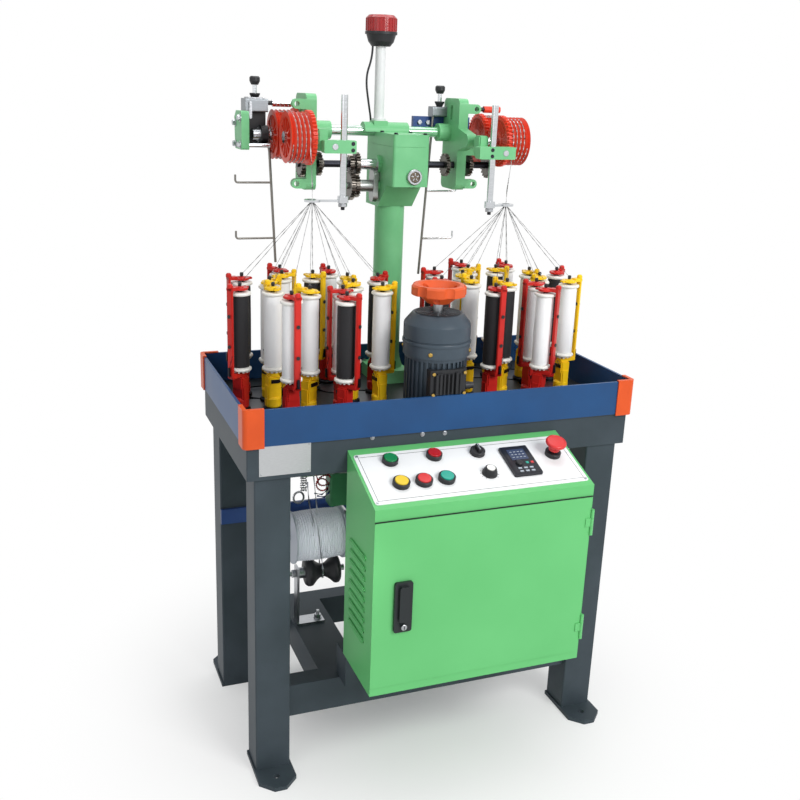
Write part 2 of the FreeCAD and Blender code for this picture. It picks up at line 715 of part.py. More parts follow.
def build_table_gears():
    """The main gear between the heads, the idlers before and behind it."""
    z = (GEAR_Z, GEAR_Z + GEAR_THICK)
    for node, teeth, y, phase in (
        ("main_gear", MAIN_TEETH, HEAD_Y, 180.0 / MAIN_TEETH),
        ("idler_gear", IDLER_TEETH, IDLER_Y, 90.0),
        ("takeoff_idler", PINION_TEETH, TAKEOFF_Y, 90.0),
    ):
        wheel = gear(teeth, MODULE, phase, GEAR_THICK, (CENTRE_X, y, GEAR_Z), Z_AXIS)
        save(node, wheel.cut(stud_bore(CENTRE_X, y, z)))


# ---- Motor ----
def build_motor():
    """Finned motor frame on the deck, its cowl, shaft with pinion and the scalloped hand wheel."""
    bore_r = MOTOR_SHAFT_R + FREE_GAP
    flange = upright(MOTOR_R - MOTOR_FIN, CENTRE_X, MOTOR_Y, (TABLE_TOP, MOTOR_TOP))
    fin_angle = 2 * math.pi / MOTOR_FINS
    outline = []
    for fin in range(MOTOR_FINS):
        for share, radius in ((0.0, MOTOR_R - MOTOR_FIN), (0.0, MOTOR_R), (0.35, MOTOR_R),
                              (0.35, MOTOR_R - MOTOR_FIN)):
            angle = fin_angle * (fin + share)
            outline.append((radius * math.cos(angle), radius * math.sin(angle)))
    fins = plan_profile(outline, (TABLE_TOP + MOTOR_BAND, MOTOR_TOP - MOTOR_BAND / 2))
    fins.translate(V(CENTRE_X, MOTOR_Y, 0))
    lower = upright(MOTOR_R, CENTRE_X, MOTOR_Y, (TABLE_TOP, TABLE_TOP + MOTOR_BAND))
    upper = upright(MOTOR_R, CENTRE_X, MOTOR_Y, (MOTOR_TOP - MOTOR_BAND / 2, MOTOR_TOP))
    frame = fuse([flange, fins, lower, upper])
    frame = frame.cut(upright(bore_r, CENTRE_X, MOTOR_Y, (TABLE_TOP, MOTOR_TOP)))
    save("motor_frame", frame)
    cowl = turned([
        (bore_r, MOTOR_TOP),
        (COWL_R, MOTOR_TOP),
        (COWL_R, MOTOR_TOP + COWL_SKIRT),
        (COWL_R - 3, (MOTOR_TOP + COWL_SKIRT + COWL_TOP) / 2 - 4),
        (COWL_TOP_R, COWL_TOP),
        (bore_r, COWL_TOP),
    ], (CENTRE_X, MOTOR_Y, 0), Z_AXIS)
    save("fan_cowl", cowl)
    wide, deep, tall = TERMINAL_BOX
    high = MOTOR_TOP - TERMINAL_DROP
    low = high - tall
    back = MOTOR_Y - math.sqrt(MOTOR_R ** 2 - (wide / 2) ** 2) + MOTOR_FIN
    terminal = box((CENTRE_X - wide / 2, CENTRE_X + wide / 2), (MOTOR_Y - deep, back), (low, high))
    terminal = rounded(terminal, 5, Z_AXIS).cut(upright(MOTOR_R, CENTRE_X, MOTOR_Y, (low, high)))
    ribs = []
    for side in (-1, 1):
        middle = CENTRE_X + side * wide / 4
        ribs.append(box((middle - 6, middle + 6), (MOTOR_Y - deep - 4, MOTOR_Y - deep), (low + 6, high - 6)))
    save("terminal_box", fuse([terminal] + ribs))
    pinion = gear(PINION_TEETH, MODULE, 90 + 180.0 / PINION_TEETH, GEAR_THICK,
                  (CENTRE_X, MOTOR_Y, GEAR_Z), Z_AXIS)
    shaft = upright(MOTOR_SHAFT_R, CENTRE_X, MOTOR_Y, (GEAR_Z - 4, HAND_WHEEL_Z[1] - 14))
    save("motor_rotor", [fuse([pinion, shaft]), hand_wheel(shaft)])


def hand_wheel(shaft):
    """Dished wheel whose rim is scalloped for the fingers, with three windows round its hub."""
    low, high = HAND_WHEEL_Z
    wheel = turned([
        (0, low),
        (26, low),
        (HAND_WHEEL_R - 14, high - 22),
        (HAND_WHEEL_R, high - 22),
        (HAND_WHEEL_R, high - 4),
        (HAND_WHEEL_R - 4, high),
        (HAND_WHEEL_R - 14, high),
        (22, low + 14),
        (22, high - 12),
        (0, high - 12),
    ], (CENTRE_X, MOTOR_Y, 0), Z_AXIS)
    for step in range(HAND_WHEEL_SCALLOPS):
        angle = 2 * math.pi * (step + 0.5) / HAND_WHEEL_SCALLOPS
        x = CENTRE_X + (HAND_WHEEL_R + 9) * math.cos(angle)
        y = MOTOR_Y + (HAND_WHEEL_R + 9) * math.sin(angle)
        wheel = wheel.cut(upright(16, x, y, (low, high)))
    for step in range(3):
        angle = 2 * math.pi * step / 3
        x = CENTRE_X + 35 * math.cos(angle)
        y = MOTOR_Y + 35 * math.sin(angle)
        wheel = wheel.cut(upright(8, x, y, (low, high)))
    return wheel.cut(shaft)


# ---- Column ----
def build_column():
    """Column with a foot block and a flare, bored for the shaft that drives the take-ups."""
    wide, deep, high = COLUMN_FOOT
    middle_y = COLUMN_Y + COLUMN_BASE_DY
    foot_top = TABLE_TOP + high
    foot = box((CENTRE_X - wide / 2, CENTRE_X + wide / 2), (middle_y - deep / 2, middle_y + deep / 2),
               (TABLE_TOP, foot_top))
    foot = rounded(foot, 12, Z_AXIS)
    flare = turned([
        (0, foot_top),
        (wide / 2, foot_top),
        (COLUMN_R + 2, foot_top + COLUMN_FLARE * 0.6),
        (COLUMN_R, foot_top + COLUMN_FLARE),
        (COLUMN_R, GEARBOX_BACK_LOW),
        (0, GEARBOX_BACK_LOW),
    ], (CENTRE_X, COLUMN_Y, 0), Z_AXIS)
    column = fuse([foot, flare])
    bore = upright(COLUMN_SHAFT_R + FREE_GAP, CENTRE_X, COLUMN_Y, (TABLE_TOP, GEARBOX_BACK_LOW))
    save("column", column.cut(bore))
    profile = gear(COLUMN_TEETH, MODULE, 180.0 / COLUMN_TEETH - 90, GEAR_THICK,
                   (CENTRE_X, COLUMN_Y, GEAR_Z), Z_AXIS)
    worm_low = SHAFT_Z - WORM_LENGTH / 2
    shaft = upright(COLUMN_SHAFT_R, CENTRE_X, COLUMN_Y, (GEAR_Z - 4, worm_low + WORM_LENGTH + 8))
    worm = upright(WORM_R - FREE_GAP, CENTRE_X, COLUMN_Y, (worm_low, worm_low + WORM_LENGTH))
    save("column_shaft", fuse([profile, shaft, worm]))


def gearbox_outside():
    front, back = GEARBOX_Y
    neck = COLUMN_Y - COLUMN_R
    outline = [
        (front, GEARBOX_FRONT_LOW),
        (front + 40, GEARBOX_FRONT_LOW),
        (neck, GEARBOX_BACK_LOW),
        (back, GEARBOX_BACK_LOW),
        (back, GEARBOX_TOP),
        (front, GEARBOX_TOP),
    ]
    return rounded(side_profile(outline, GEARBOX_X), 6, Z_AXIS)


def build_gearbox():
    """Cast housing with a worm chamber, a side boss for the sleeve, an eye at the front and a lid."""
    low_x, high_x = GEARBOX_X
    casing = gearbox_outside()
    boss = cyl(SLEEVE_R + GEARBOX_WALL, (low_x - 8, SHAFT_Y, SHAFT_Z), X_AXIS, high_x - low_x + 16)
    front = GEARBOX_Y[0]
    eye = cyl(PORT_R, (PORT_X, front - 3, PORT_Z), Y_AXIS, 20)
    casing = fuse([casing, boss, eye])
    chamber_r = WORM_WHEEL_R + LOOSE_GAP
    half = WORM_LENGTH / 2 + 12
    chamber = fuse([
        cyl(chamber_r, (CENTRE_X - WORM_WHEEL_THICK / 2 - LOOSE_GAP, SHAFT_Y, SHAFT_Z), X_AXIS,
            WORM_WHEEL_THICK + 2 * LOOSE_GAP),
        upright(WORM_R + LOOSE_GAP, CENTRE_X, COLUMN_Y, (SHAFT_Z - half, SHAFT_Z + half)),
    ])
    casing = casing.cut(chamber)
    casing = casing.cut(cyl(SLEEVE_R + RUN_FIT, (low_x - 8, SHAFT_Y, SHAFT_Z), X_AXIS, high_x - low_x + 16))
    casing = casing.cut(upright(COLUMN_SHAFT_R + RUN_FIT, CENTRE_X, COLUMN_Y,
                                (GEARBOX_BACK_LOW, SHAFT_Z + half)))
    stud_start = CHANGE_X - CHANGE_THICK / 2 - CHANGE_STEP - LAY_STUD_END
    stud = cyl(LAY_STUD_R, (stud_start, SHAFT_Y, LAY_Z), X_AXIS, low_x - stud_start)
    collar_start = CHANGE_X + CHANGE_THICK / 2 + FREE_GAP
    collar = cyl(LAY_STUD_R + 6, (collar_start, SHAFT_Y, LAY_Z), X_AXIS, low_x - collar_start)
    casing = casing.cut(cyl(BOX_BAR_R, (low_x, BAR_Y, BAR_Z), X_AXIS, high_x - low_x))
    casing = fuse([casing.cut(lid_line()), stud, collar, swing_arm(low_x - 6)])
    save("gearbox_casing", casing)


def swing_arm(x):
    """Round-ended plate on the lay stud's collar, cut back round the sleeve above it."""
    thick = (x - SWING_ARM_THICK, x)
    low, high = LAY_Z - SWING_ARM_DROP, LAY_Z + SWING_ARM_RISE
    arm = fuse([
        box(thick, (SHAFT_Y - SWING_ARM_R, SHAFT_Y + SWING_ARM_R), (low, high)),
        cyl(SWING_ARM_R, (thick[0], SHAFT_Y, low), X_AXIS, SWING_ARM_THICK),
        cyl(SWING_ARM_R, (thick[0], SHAFT_Y, high), X_AXIS, SWING_ARM_THICK),
    ])
    return arm.cut(cyl(SLEEVE_R + LOOSE_GAP, (thick[0], SHAFT_Y, SHAFT_Z), X_AXIS, SWING_ARM_THICK))


def lid_line():
    """The thin line between the gearbox and its lid."""
    low_x, high_x = GEARBOX_X
    front, back = GEARBOX_Y
    z = (GEARBOX_TOP - COVER_THICK, GEARBOX_TOP - COVER_THICK + 1)
    outer = box((low_x, high_x), (front, back), z)
    return outer.cut(box((low_x + 1, high_x - 1), (front + 1, back - 1), z))


def build_cross_bar():
    """Chrome bar clamped on top of the gearbox, from plate to plate."""
    start = LEFT_PLATE_X
    length = RIGHT_PLATE_X + PLATE_THICK - start
    bar = cyl(BOX_BAR_R, (start, BAR_Y, BAR_Z), X_AXIS, length)
    left, right = CLAMP_X
    clamp = cyl(CLAMP_R, (left, BAR_Y, BAR_Z), X_AXIS, right - left)
    seat = box((left + 10, right - 10), (BAR_Y - CLAMP_R, BAR_Y + CLAMP_R), (GEARBOX_TOP, BAR_Z))
    pad = box((POLE_X - POLE_BASE_R, POLE_X + POLE_BASE_R), (BAR_Y - POLE_BASE_R, BAR_Y + POLE_BASE_R),
              (BAR_Z, POLE_SEAT_Z))
    clamp = fuse([clamp, seat, pad]).cut(bar)
    clamp = clamp.cut(box((left, right), (BAR_Y - CLAMP_R, BAR_Y + CLAMP_R),
                          (GEARBOX_TOP - CLAMP_R, GEARBOX_TOP)))
    save("cross_bar", [bar, clamp])


def build_beacon():
    pole = turned([
        (0, POLE_SEAT_Z),
        (POLE_BASE_R, POLE_SEAT_Z),
        (POLE_BASE_R, POLE_SEAT_Z + 5),
        (POLE_R, POLE_SEAT_Z + 5),
        (POLE_R, POLE_TOP),
        (0, POLE_TOP),
    ], (POLE_X, BAR_Y, 0), Z_AXIS)
    base = turned([
        (0, POLE_TOP),
        (BEACON_BASE_R - 8, POLE_TOP),
        (BEACON_BASE_R, POLE_TOP + 10),
        (BEACON_R, POLE_TOP + BEACON_BASE),
        (0, POLE_TOP + BEACON_BASE),
    ], (POLE_X, BAR_Y, 0), Z_AXIS)
    save("beacon_pole", [pole, base])
    low = POLE_TOP + BEACON_BASE
    lens = turned([
        (0, low),
        (BEACON_R, low),
        (BEACON_R, BEACON_TOP - 6),
        (BEACON_R - 6, BEACON_TOP),
        (0, BEACON_TOP),
    ], (POLE_X, BAR_Y, 0), Z_AXIS)
    save("beacon_lens", lens)
    route = [
        (POLE_X - 20, BAR_Y, POLE_TOP),
        (POLE_X - 20, BAR_Y, POLE_TOP - 25),
        (POLE_X - 36, BAR_Y, POLE_TOP - 70),
        (POLE_X - 26, BAR_Y, GEARBOX_TOP + 60),
        (POLE_X - 8, BAR_Y + CABLE_BEHIND, GEARBOX_TOP + 25),
        (POLE_X - 8, BAR_Y + CABLE_BEHIND, GEARBOX_TOP),
    ]
    save("beacon_cable", rod_path(route, CABLE_R, (10, 14, 14, 14)))


# ---- Drive from the column to the take-ups ----
def build_cross_drive():
    """Worm wheel sleeve, lay gears on their stud and the shaft that runs through to both pinions."""
    right_end = GEARBOX_X[1] + SLEEVE_OVERHANG
    left_end = CHANGE_X - CHANGE_THICK / 2 - LOOSE_GAP
    sleeve = cyl(SLEEVE_R, (left_end, SHAFT_Y, SHAFT_Z), X_AXIS, right_end - left_end)
    wheel = cyl(WORM_WHEEL_R, (CENTRE_X - WORM_WHEEL_THICK / 2, SHAFT_Y, SHAFT_Z), X_AXIS, WORM_WHEEL_THICK)
    pair_x = CHANGE_X - CHANGE_THICK / 2
    first = gear(CHANGE_A_TEETH, CHANGE_MODULE, 180.0 / CHANGE_A_TEETH - 90, CHANGE_THICK,
                 (pair_x, SHAFT_Y, SHAFT_Z), X_AXIS)
    bore = cyl(SHAFT_R + FREE_GAP, (left_end, SHAFT_Y, SHAFT_Z), X_AXIS, right_end - left_end)
    save("worm_sleeve", fuse([sleeve, wheel, first]).cut(bore))
    second_x = pair_x - CHANGE_STEP
    driven = gear(CHANGE_B_TEETH, CHANGE_MODULE, 90, CHANGE_THICK, (pair_x, SHAFT_Y, LAY_Z), X_AXIS)
    driver = gear(CHANGE_C_TEETH, CHANGE_MODULE, 90, CHANGE_THICK, (second_x, SHAFT_Y, LAY_Z), X_AXIS)
    hub_length = CHANGE_STEP + CHANGE_THICK
    hub = cyl(LAY_STUD_R + 6, (second_x, SHAFT_Y, LAY_Z), X_AXIS, hub_length)
    lay_bore = cyl(LAY_STUD_R + RUN_FIT, (second_x, SHAFT_Y, LAY_Z), X_AXIS, hub_length)
    save("layshaft_gears", fuse([driven, driver, hub]).cut(lay_bore))
    last = gear(CHANGE_D_TEETH, CHANGE_MODULE, 180.0 / CHANGE_D_TEETH - 90, CHANGE_THICK,
                (second_x, SHAFT_Y, SHAFT_Z), X_AXIS)
    left_pinion_x = LEFT_WHEEL_X + WHEEL_WIDTH - WHEEL_RIM
    start = left_pinion_x - SHAFT_OVERHANG
    end = RIGHT_WHEEL_X + WHEEL_RIM + SHAFT_OVERHANG
    shaft = cyl(SHAFT_R, (start, SHAFT_Y, SHAFT_Z), X_AXIS, end - start)
    pinions = []
    for x in (left_pinion_x, RIGHT_WHEEL_X):
        pinions.append(gear(WHEEL_PINION_TEETH, WHEEL_MODULE, pinion_phase(), WHEEL_RIM,
                            (x, SHAFT_Y, SHAFT_Z), X_AXIS))
    save("take_up_shaft", fuse([shaft, last] + pinions))


def wheel_bearing():
    """Angle about the X axis from the through shaft to the rear wheel's axle."""
    return math.degrees(math.atan2(WHEEL_Z - SHAFT_Z, WHEEL_DY))


def pinion_phase():
    """Half a tooth off the line to the rear wheel, where that wheel has a tooth."""
    return wheel_bearing() + 180.0 / WHEEL_PINION_TEETH


def wheel_phase(rear):
    """Tooth angle that sits in the pinion's gap on the line between the two axes."""
    if rear:
        return wheel_bearing() + 180
    to_front = 180 - wheel_bearing()
    pitch = 360.0 / WHEEL_PINION_TEETH
    past_gap = (to_front - pinion_phase() - pitch / 2) % pitch
    own_pitch = 360.0 / WHEEL_TEETH
    return to_front + 180 + past_gap * own_pitch / pitch


def build_wheels():
    """Four grooved take-up wheels, each with a toothed rim on its inner side and a dished face."""
    body_width = WHEEL_WIDTH - WHEEL_RIM
    pitch = body_width / WHEEL_GROOVES
    profile = [(AXLE_R + RUN_FIT, 0), (WHEEL_R, 0)]
    for groove in range(WHEEL_GROOVES):
        profile.append((WHEEL_R - GROOVE_DEPTH, pitch * (groove + 0.5)))
        profile.append((WHEEL_R, pitch * (groove + 1)))
    profile += [
        (WHEEL_R - GROOVE_DEPTH - 5, body_width),
        (WHEEL_R - GROOVE_DEPTH - 9, body_width - WHEEL_DISH),
        (AXLE_R * 2, body_width - WHEEL_DISH),
        (AXLE_R * 2, body_width),
        (AXLE_R + RUN_FIT, body_width),
    ]
    for side, rim_x, outward in (
        ("left", LEFT_WHEEL_X + body_width, -1),
        ("right", RIGHT_WHEEL_X, 1),
    ):
        body_x = rim_x if outward < 0 else rim_x + WHEEL_RIM
        for row, y in (("front", FRONT_WHEEL_Y), ("rear", REAR_WHEEL_Y)):
            body = turned(profile, (body_x, y, WHEEL_Z), V(outward, 0, 0))
            rim = gear(WHEEL_TEETH, WHEEL_MODULE, wheel_phase(row == "rear"), WHEEL_RIM,
                       (rim_x, y, WHEEL_Z), X_AXIS)
            bore = cyl(AXLE_R + RUN_FIT, (rim_x, y, WHEEL_Z), X_AXIS, WHEEL_RIM)
            save("take_up_wheel_" + side + "_" + row, fuse([body, rim.cut(bore)]))


def take_up_plate(plate_x, hub_length, guide, outward):
    """One cast plate: upright body, arm to the front axle, hub, lugs and the guide rod's boss."""
    x = (plate_x, plate_x + PLATE_THICK)
    front, back = PLATE_Y
    body = rounded(side_profile([(front, PLATE_Z[0]), (back, PLATE_Z[0]), (back, PLATE_Z[1]),
                                 (front, PLATE_Z[1])], x), 14, X_AXIS)
    arm = side_profile([
        (front + 10, WHEEL_Z - AXLE_BOSS_R - 12),
        (front + 10, WHEEL_Z + AXLE_BOSS_R + 12),
        (FRONT_WHEEL_Y, WHEEL_Z + AXLE_BOSS_R),
        (FRONT_WHEEL_Y, WHEEL_Z - AXLE_BOSS_R),
    ], x)
    tip = cyl(AXLE_BOSS_R, (x[0], FRONT_WHEEL_Y, WHEEL_Z), X_AXIS, PLATE_THICK)
    inner_x = x[1] if outward < 0 else x[0] - hub_length
    hub = cyl(HUB_OUTER_R, (inner_x, BAR_Y, BAR_Z), X_AXIS, hub_length)
    guide_x, guide_y, guide_z = guide
    reach = (x[1], guide_x + GUIDE_ROD_R + GUIDE_WALL)
    boss = box(reach, (front, front + GUIDE_BOSS), (guide_z - GUIDE_ROD_R - GUIDE_WALL,
                                                    guide_z + GUIDE_ROD_R + GUIDE_WALL))
    pieces = [body, arm, tip, hub, boss]
    lug_x = x[0] if outward < 0 else x[1]
    for z in (PLATE_Z[0] + LUG_R + 4, PLATE_Z[1] - LUG_R - 12):
        lug_box = (lug_x - LUG_REACH, lug_x) if outward < 0 else (lug_x, lug_x + LUG_REACH)
        pieces.append(box(lug_box, (front, front + 16), (z - LUG_R, z + LUG_R)))
        pieces.append(cyl(LUG_R, (lug_x + outward * LUG_REACH, front, z), Y_AXIS, 16))
    plate = fuse(pieces)
    for z in (PLATE_Z[0] + LUG_R + 4, PLATE_Z[1] - LUG_R - 12):
        plate = plate.cut(cyl(LUG_R - 5, (lug_x + outward * LUG_REACH, front, z), Y_AXIS, 16))
    long_x = (x[0] - hub_length - 1, PLATE_THICK + 2 * hub_length + 2)
    plate = plate.cut(cyl(BOX_BAR_R, (long_x[0], BAR_Y, BAR_Z), X_AXIS, long_x[1]))
    plate = plate.cut(cyl(SHAFT_R + RUN_FIT, (long_x[0], SHAFT_Y, SHAFT_Z), X_AXIS, long_x[1]))
    plate = plate.cut(cyl(GUIDE_ROD_R, (guide_x, front, guide_z), Y_AXIS, GUIDE_BOSS))
    slot_y = (front + back) / 2
    slot = box(x, (slot_y - 6, slot_y + 6), (BAR_Z + HUB_OUTER_R + 8, PLATE_Z[1] - 16))
    return plate.cut(rounded(slot, 5.5, X_AXIS))


def build_take_up_frames():
    left = take_up_plate(LEFT_PLATE_X, HUB_LEFT, GUIDE_LEFT, -1)
    right = take_up_plate(RIGHT_PLATE_X, HUB_RIGHT, GUIDE_RIGHT, 1)
    save("take_up_frames", [left, right])


def build_guides():
    """Axles, guide rods with their blocks and yarn rings, and the two wire stands."""
    pieces = []
    stands = {-1: wire_stand(LEFT_STAND, LEFT_ARMS, -1), 1: wire_stand(RIGHT_STAND, RIGHT_ARMS, 1)}
    for plate_x, wheel_x, outward, guide, post_x, block_x, ring_x, ring_z in (
        (LEFT_PLATE_X, LEFT_WHEEL_X, -1, GUIDE_LEFT, GUIDE_POST_LEFT, GUIDE_BLOCK_LEFT, HEADS[0][1],
         RING_Z_LEFT),
        (RIGHT_PLATE_X, RIGHT_WHEEL_X, 1, GUIDE_RIGHT, GUIDE_POST_RIGHT, GUIDE_BLOCK_RIGHT, HEADS[1][1],
         RING_Z_RIGHT),
    ):
        root_x = plate_x if outward < 0 else plate_x + PLATE_THICK
        far_x = wheel_x - FREE_GAP if outward < 0 else wheel_x + WHEEL_WIDTH + FREE_GAP
        for y in (FRONT_WHEEL_Y, REAR_WHEEL_Y):
            extra = REAR_AXLE_EXTRA - FREE_GAP if outward < 0 and y == REAR_WHEEL_Y else AXLE_CAP
            low = min(root_x, far_x + outward * extra)
            high = max(root_x, far_x + outward * extra)
            axle = cyl(AXLE_R, (low, y, WHEEL_Z), X_AXIS, high - low)
            cap = cyl(AXLE_R + 5, (min(far_x, far_x + outward * AXLE_CAP), y, WHEEL_Z), X_AXIS, AXLE_CAP)
            long_axle = outward < 0 and y == REAR_WHEEL_Y
            pieces.append(fuse([axle, cap, stands[outward]] if long_axle else [axle, cap]))
        guide_x, guide_y, guide_z = guide
        rod = cyl(GUIDE_ROD_R, (guide_x, guide_y, guide_z), Y_AXIS, PLATE_Y[0] + GUIDE_BOSS - guide_y)
        block = box(block_x, (guide_y - GUIDE_BLOCK_DEEP / 2, guide_y + GUIDE_BLOCK_DEEP / 2),
                    (guide_z - GUIDE_BLOCK_HIGH / 2, guide_z + GUIDE_BLOCK_HIGH / 2))
        post_low = ring_z - 8
        post = upright(POST_ROD_R, post_x, guide_y, (post_low, post_low + GUIDE_POST))
        arm = plan_profile([(ring_x, HEAD_Y - 5), (post_x, guide_y - 5), (post_x, guide_y + 5),
                            (ring_x, HEAD_Y + 5)], (ring_z - RING_THICK, ring_z))
        ring = upright(RING_R, ring_x, HEAD_Y, (ring_z - RING_THICK, ring_z))
        hole = upright(RING_HOLE_R, ring_x, HEAD_Y, (ring_z - RING_THICK, ring_z))
        eye = upright(POST_ROD_R + 5, post_x, guide_y, (ring_z - RING_THICK - 2, ring_z + 8))
        pieces.append(fuse([rounded(block, 3, Y_AXIS), rod, post, eye, arm, ring]).cut(hole))
    pieces.append(stands[1])
    save("yarn_guides", pieces)


def wire_stand(ends, arms, outward):
    """A hanging wire with two arms, each turned up at its end."""
    (top_x, top_z), (foot_x, foot_z) = ends
    top = V(top_x, REAR_WHEEL_Y, top_z)
    foot = V(foot_x, REAR_WHEEL_Y, foot_z)
    stem = Part.makeCylinder(WIRE_R, (top - foot).Length, foot, top - foot)
    pieces = [stem]
    for arm_z, reach in arms:
        share = (arm_z - foot_z) / (top_z - foot_z)
        root_x = foot_x + (top_x - foot_x) * share
        pieces.append(rod_path([
            (root_x, REAR_WHEEL_Y, arm_z),
            (root_x + outward * reach, REAR_WHEEL_Y, arm_z),
            (root_x + outward * reach, REAR_WHEEL_Y, arm_z + 18),
        ], WIRE_R * 0.8, (6,)))
    return fuse(pieces)


def build_nip_units():
    """The press rollers over the rear wheels, each with its screw and knob."""
    mid_y = REAR_WHEEL_Y
    roller_z = WHEEL_Z + WHEEL_R + NIP_ROLLER_R + 2 * BRAID_R + FREE_GAP
    roller_length = WHEEL_WIDTH - WHEEL_RIM - 4
    left = left_nip(mid_y, roller_z, roller_length)
    save("nip_units", [left, right_nip(mid_y), right_roller(mid_y, roller_z, roller_length)])


def left_nip(mid_y, roller_z, roller_length):
    """Side plate, body on the long axle, head with the roller, and the screw."""
    low, high = NIP_PLATE_Z
    front, back = NIP_PLATE_Y
    plate = rounded(side_profile([(front, low), (back - 8, low), (back, high - 16), (back - 20, high),
                                  (front, high)], NIP_PLATE_X), 6, X_AXIS)
    inner = NIP_PLATE_X[1]
    end = LEFT_WHEEL_X - NIP_GAP
    body = box((inner, end), (back - NIP_BACK_DEEP, back), (low + 3, high))
    head = box((inner - 2, end), (back - NIP_HEAD_DEEP, back - 1), (high - 2, high + NIP_HEAD_HIGH))
    collar = cyl(NIP_COLLAR_R, (end - NIP_COLLAR, mid_y, WHEEL_Z), X_AXIS, NIP_COLLAR)
    axle_end = LEFT_WHEEL_X - REAR_AXLE_EXTRA
    cap = cyl(NIP_CAP_R, (axle_end, mid_y, WHEEL_Z), X_AXIS, end - NIP_COLLAR - axle_end)
    rod = cyl(NIP_ROD_R, (inner, front + 2 * NIP_ROD_R, low + 2 * NIP_ROD_R), X_AXIS, end - inner)
    bridge = box((end - NIP_COLLAR, end), (front + 2 * NIP_ROD_R, back - NIP_BACK_DEEP),
                 (low + NIP_ROD_R + 1, low + 3 * NIP_ROD_R - 1))
    axle = cyl(NIP_ROD_R, (end, mid_y, roller_z), X_AXIS, LEFT_WHEEL_X - end)
    roller = cyl(NIP_ROLLER_R, (LEFT_WHEEL_X, mid_y, roller_z), X_AXIS, roller_length)
    screw = nip_screw((inner + end) / 2, back - NIP_HEAD_DEEP / 2, high + NIP_HEAD_HIGH)
    unit = fuse([plate, body, rounded(head, 3, X_AXIS), collar, cap, rod, bridge, axle, roller, screw])
    return unit.cut(cyl(AXLE_R, (axle_end, mid_y, WHEEL_Z), X_AXIS, end - axle_end))


def right_nip(mid_y):
    """Flat bar on the cast plate's back, with the block and screw on it."""
    back = PLATE_Y[1]
    bar = box(NIP_BAR_X, (back, back + NIP_BAR_THICK), NIP_BAR_Z)
    wide, deep, high = NIP_BLOCK
    far = back + NIP_BAR_THICK
    block = box((RIGHT_PLATE_X - wide, RIGHT_PLATE_X), (far - deep, far), (NIP_BAR_Z[1], NIP_BAR_Z[1] + high))
    screw = nip_screw(RIGHT_PLATE_X - NIP_COLLAR, mid_y + NIP_BAR_THICK / 2, NIP_BAR_Z[1] + high)
    return fuse([bar, rounded(block, 4, X_AXIS), screw])


def right_roller(mid_y, roller_z, roller_length):
    right_face = RIGHT_PLATE_X + PLATE_THICK
    axle = cyl(NIP_ROD_R, (right_face, mid_y, roller_z), X_AXIS, RIGHT_WHEEL_X + WHEEL_WIDTH - right_face)
    roller = cyl(NIP_ROLLER_R, (RIGHT_WHEEL_X + WHEEL_RIM + 4, mid_y, roller_z), X_AXIS, roller_length)
    return fuse([axle, roller])


def nip_screw(x, y, z):
    """Screw with a flared collar and a tapered knob, standing on a block's top."""
    return turned([
        (0, z - 1),
        (7, z - 1),
        (7, z),
        (12, z + 9),
        (12, z + 12),
        (5, z + 12),
        (5, z + 30),
        (8, z + 30),
        (12, z + 38),
        (12, z + 46),
        (9, z + 49),
        (0, z + 49),
    ], (x, y, 0), Z_AXIS)


# ---- Control box ----
def slope_height(y, drop):
    """Height of the sloped top over y, measured drop below its surface."""
    slope = math.radians(BOX_SLOPE)
    return BOX_FRONT_TOP + (y - BOX_FRONT) * math.tan(slope) - drop / math.cos(slope)


def on_panel(solid):
    """Move a solid from panel coordinates (across, up the slope, out of it) to its place."""
    moved = solid.copy()
    turn = FreeCAD.Rotation(X_AXIS, BOX_SLOPE)
    moved.Placement = FreeCAD.Placement(V(0, BOX_FRONT, BOX_FRONT_TOP), turn).multiply(moved.Placement)
    return moved


def box_profile(inset, x):
    front = BOX_FRONT + inset
    back = BOX_BACK - inset
    return side_profile([
        (front, BOX_BOTTOM + inset),
        (back, BOX_BOTTOM + inset),
        (back, slope_height(back, inset)),
        (front, slope_height(front, inset)),
    ], x)


def door_opening(gap):
    """Edges of the folded lip, or with a gap of the hole that it enters."""
    left = DOOR_X[0] + DOOR_RIM - gap
    right = DOOR_X[1] - DOOR_RIM + gap
    low = DOOR_Z[0] + DOOR_RIM - gap
    high = DOOR_Z[1] - DOOR_RIM + gap
    return (left, right), (low, high)


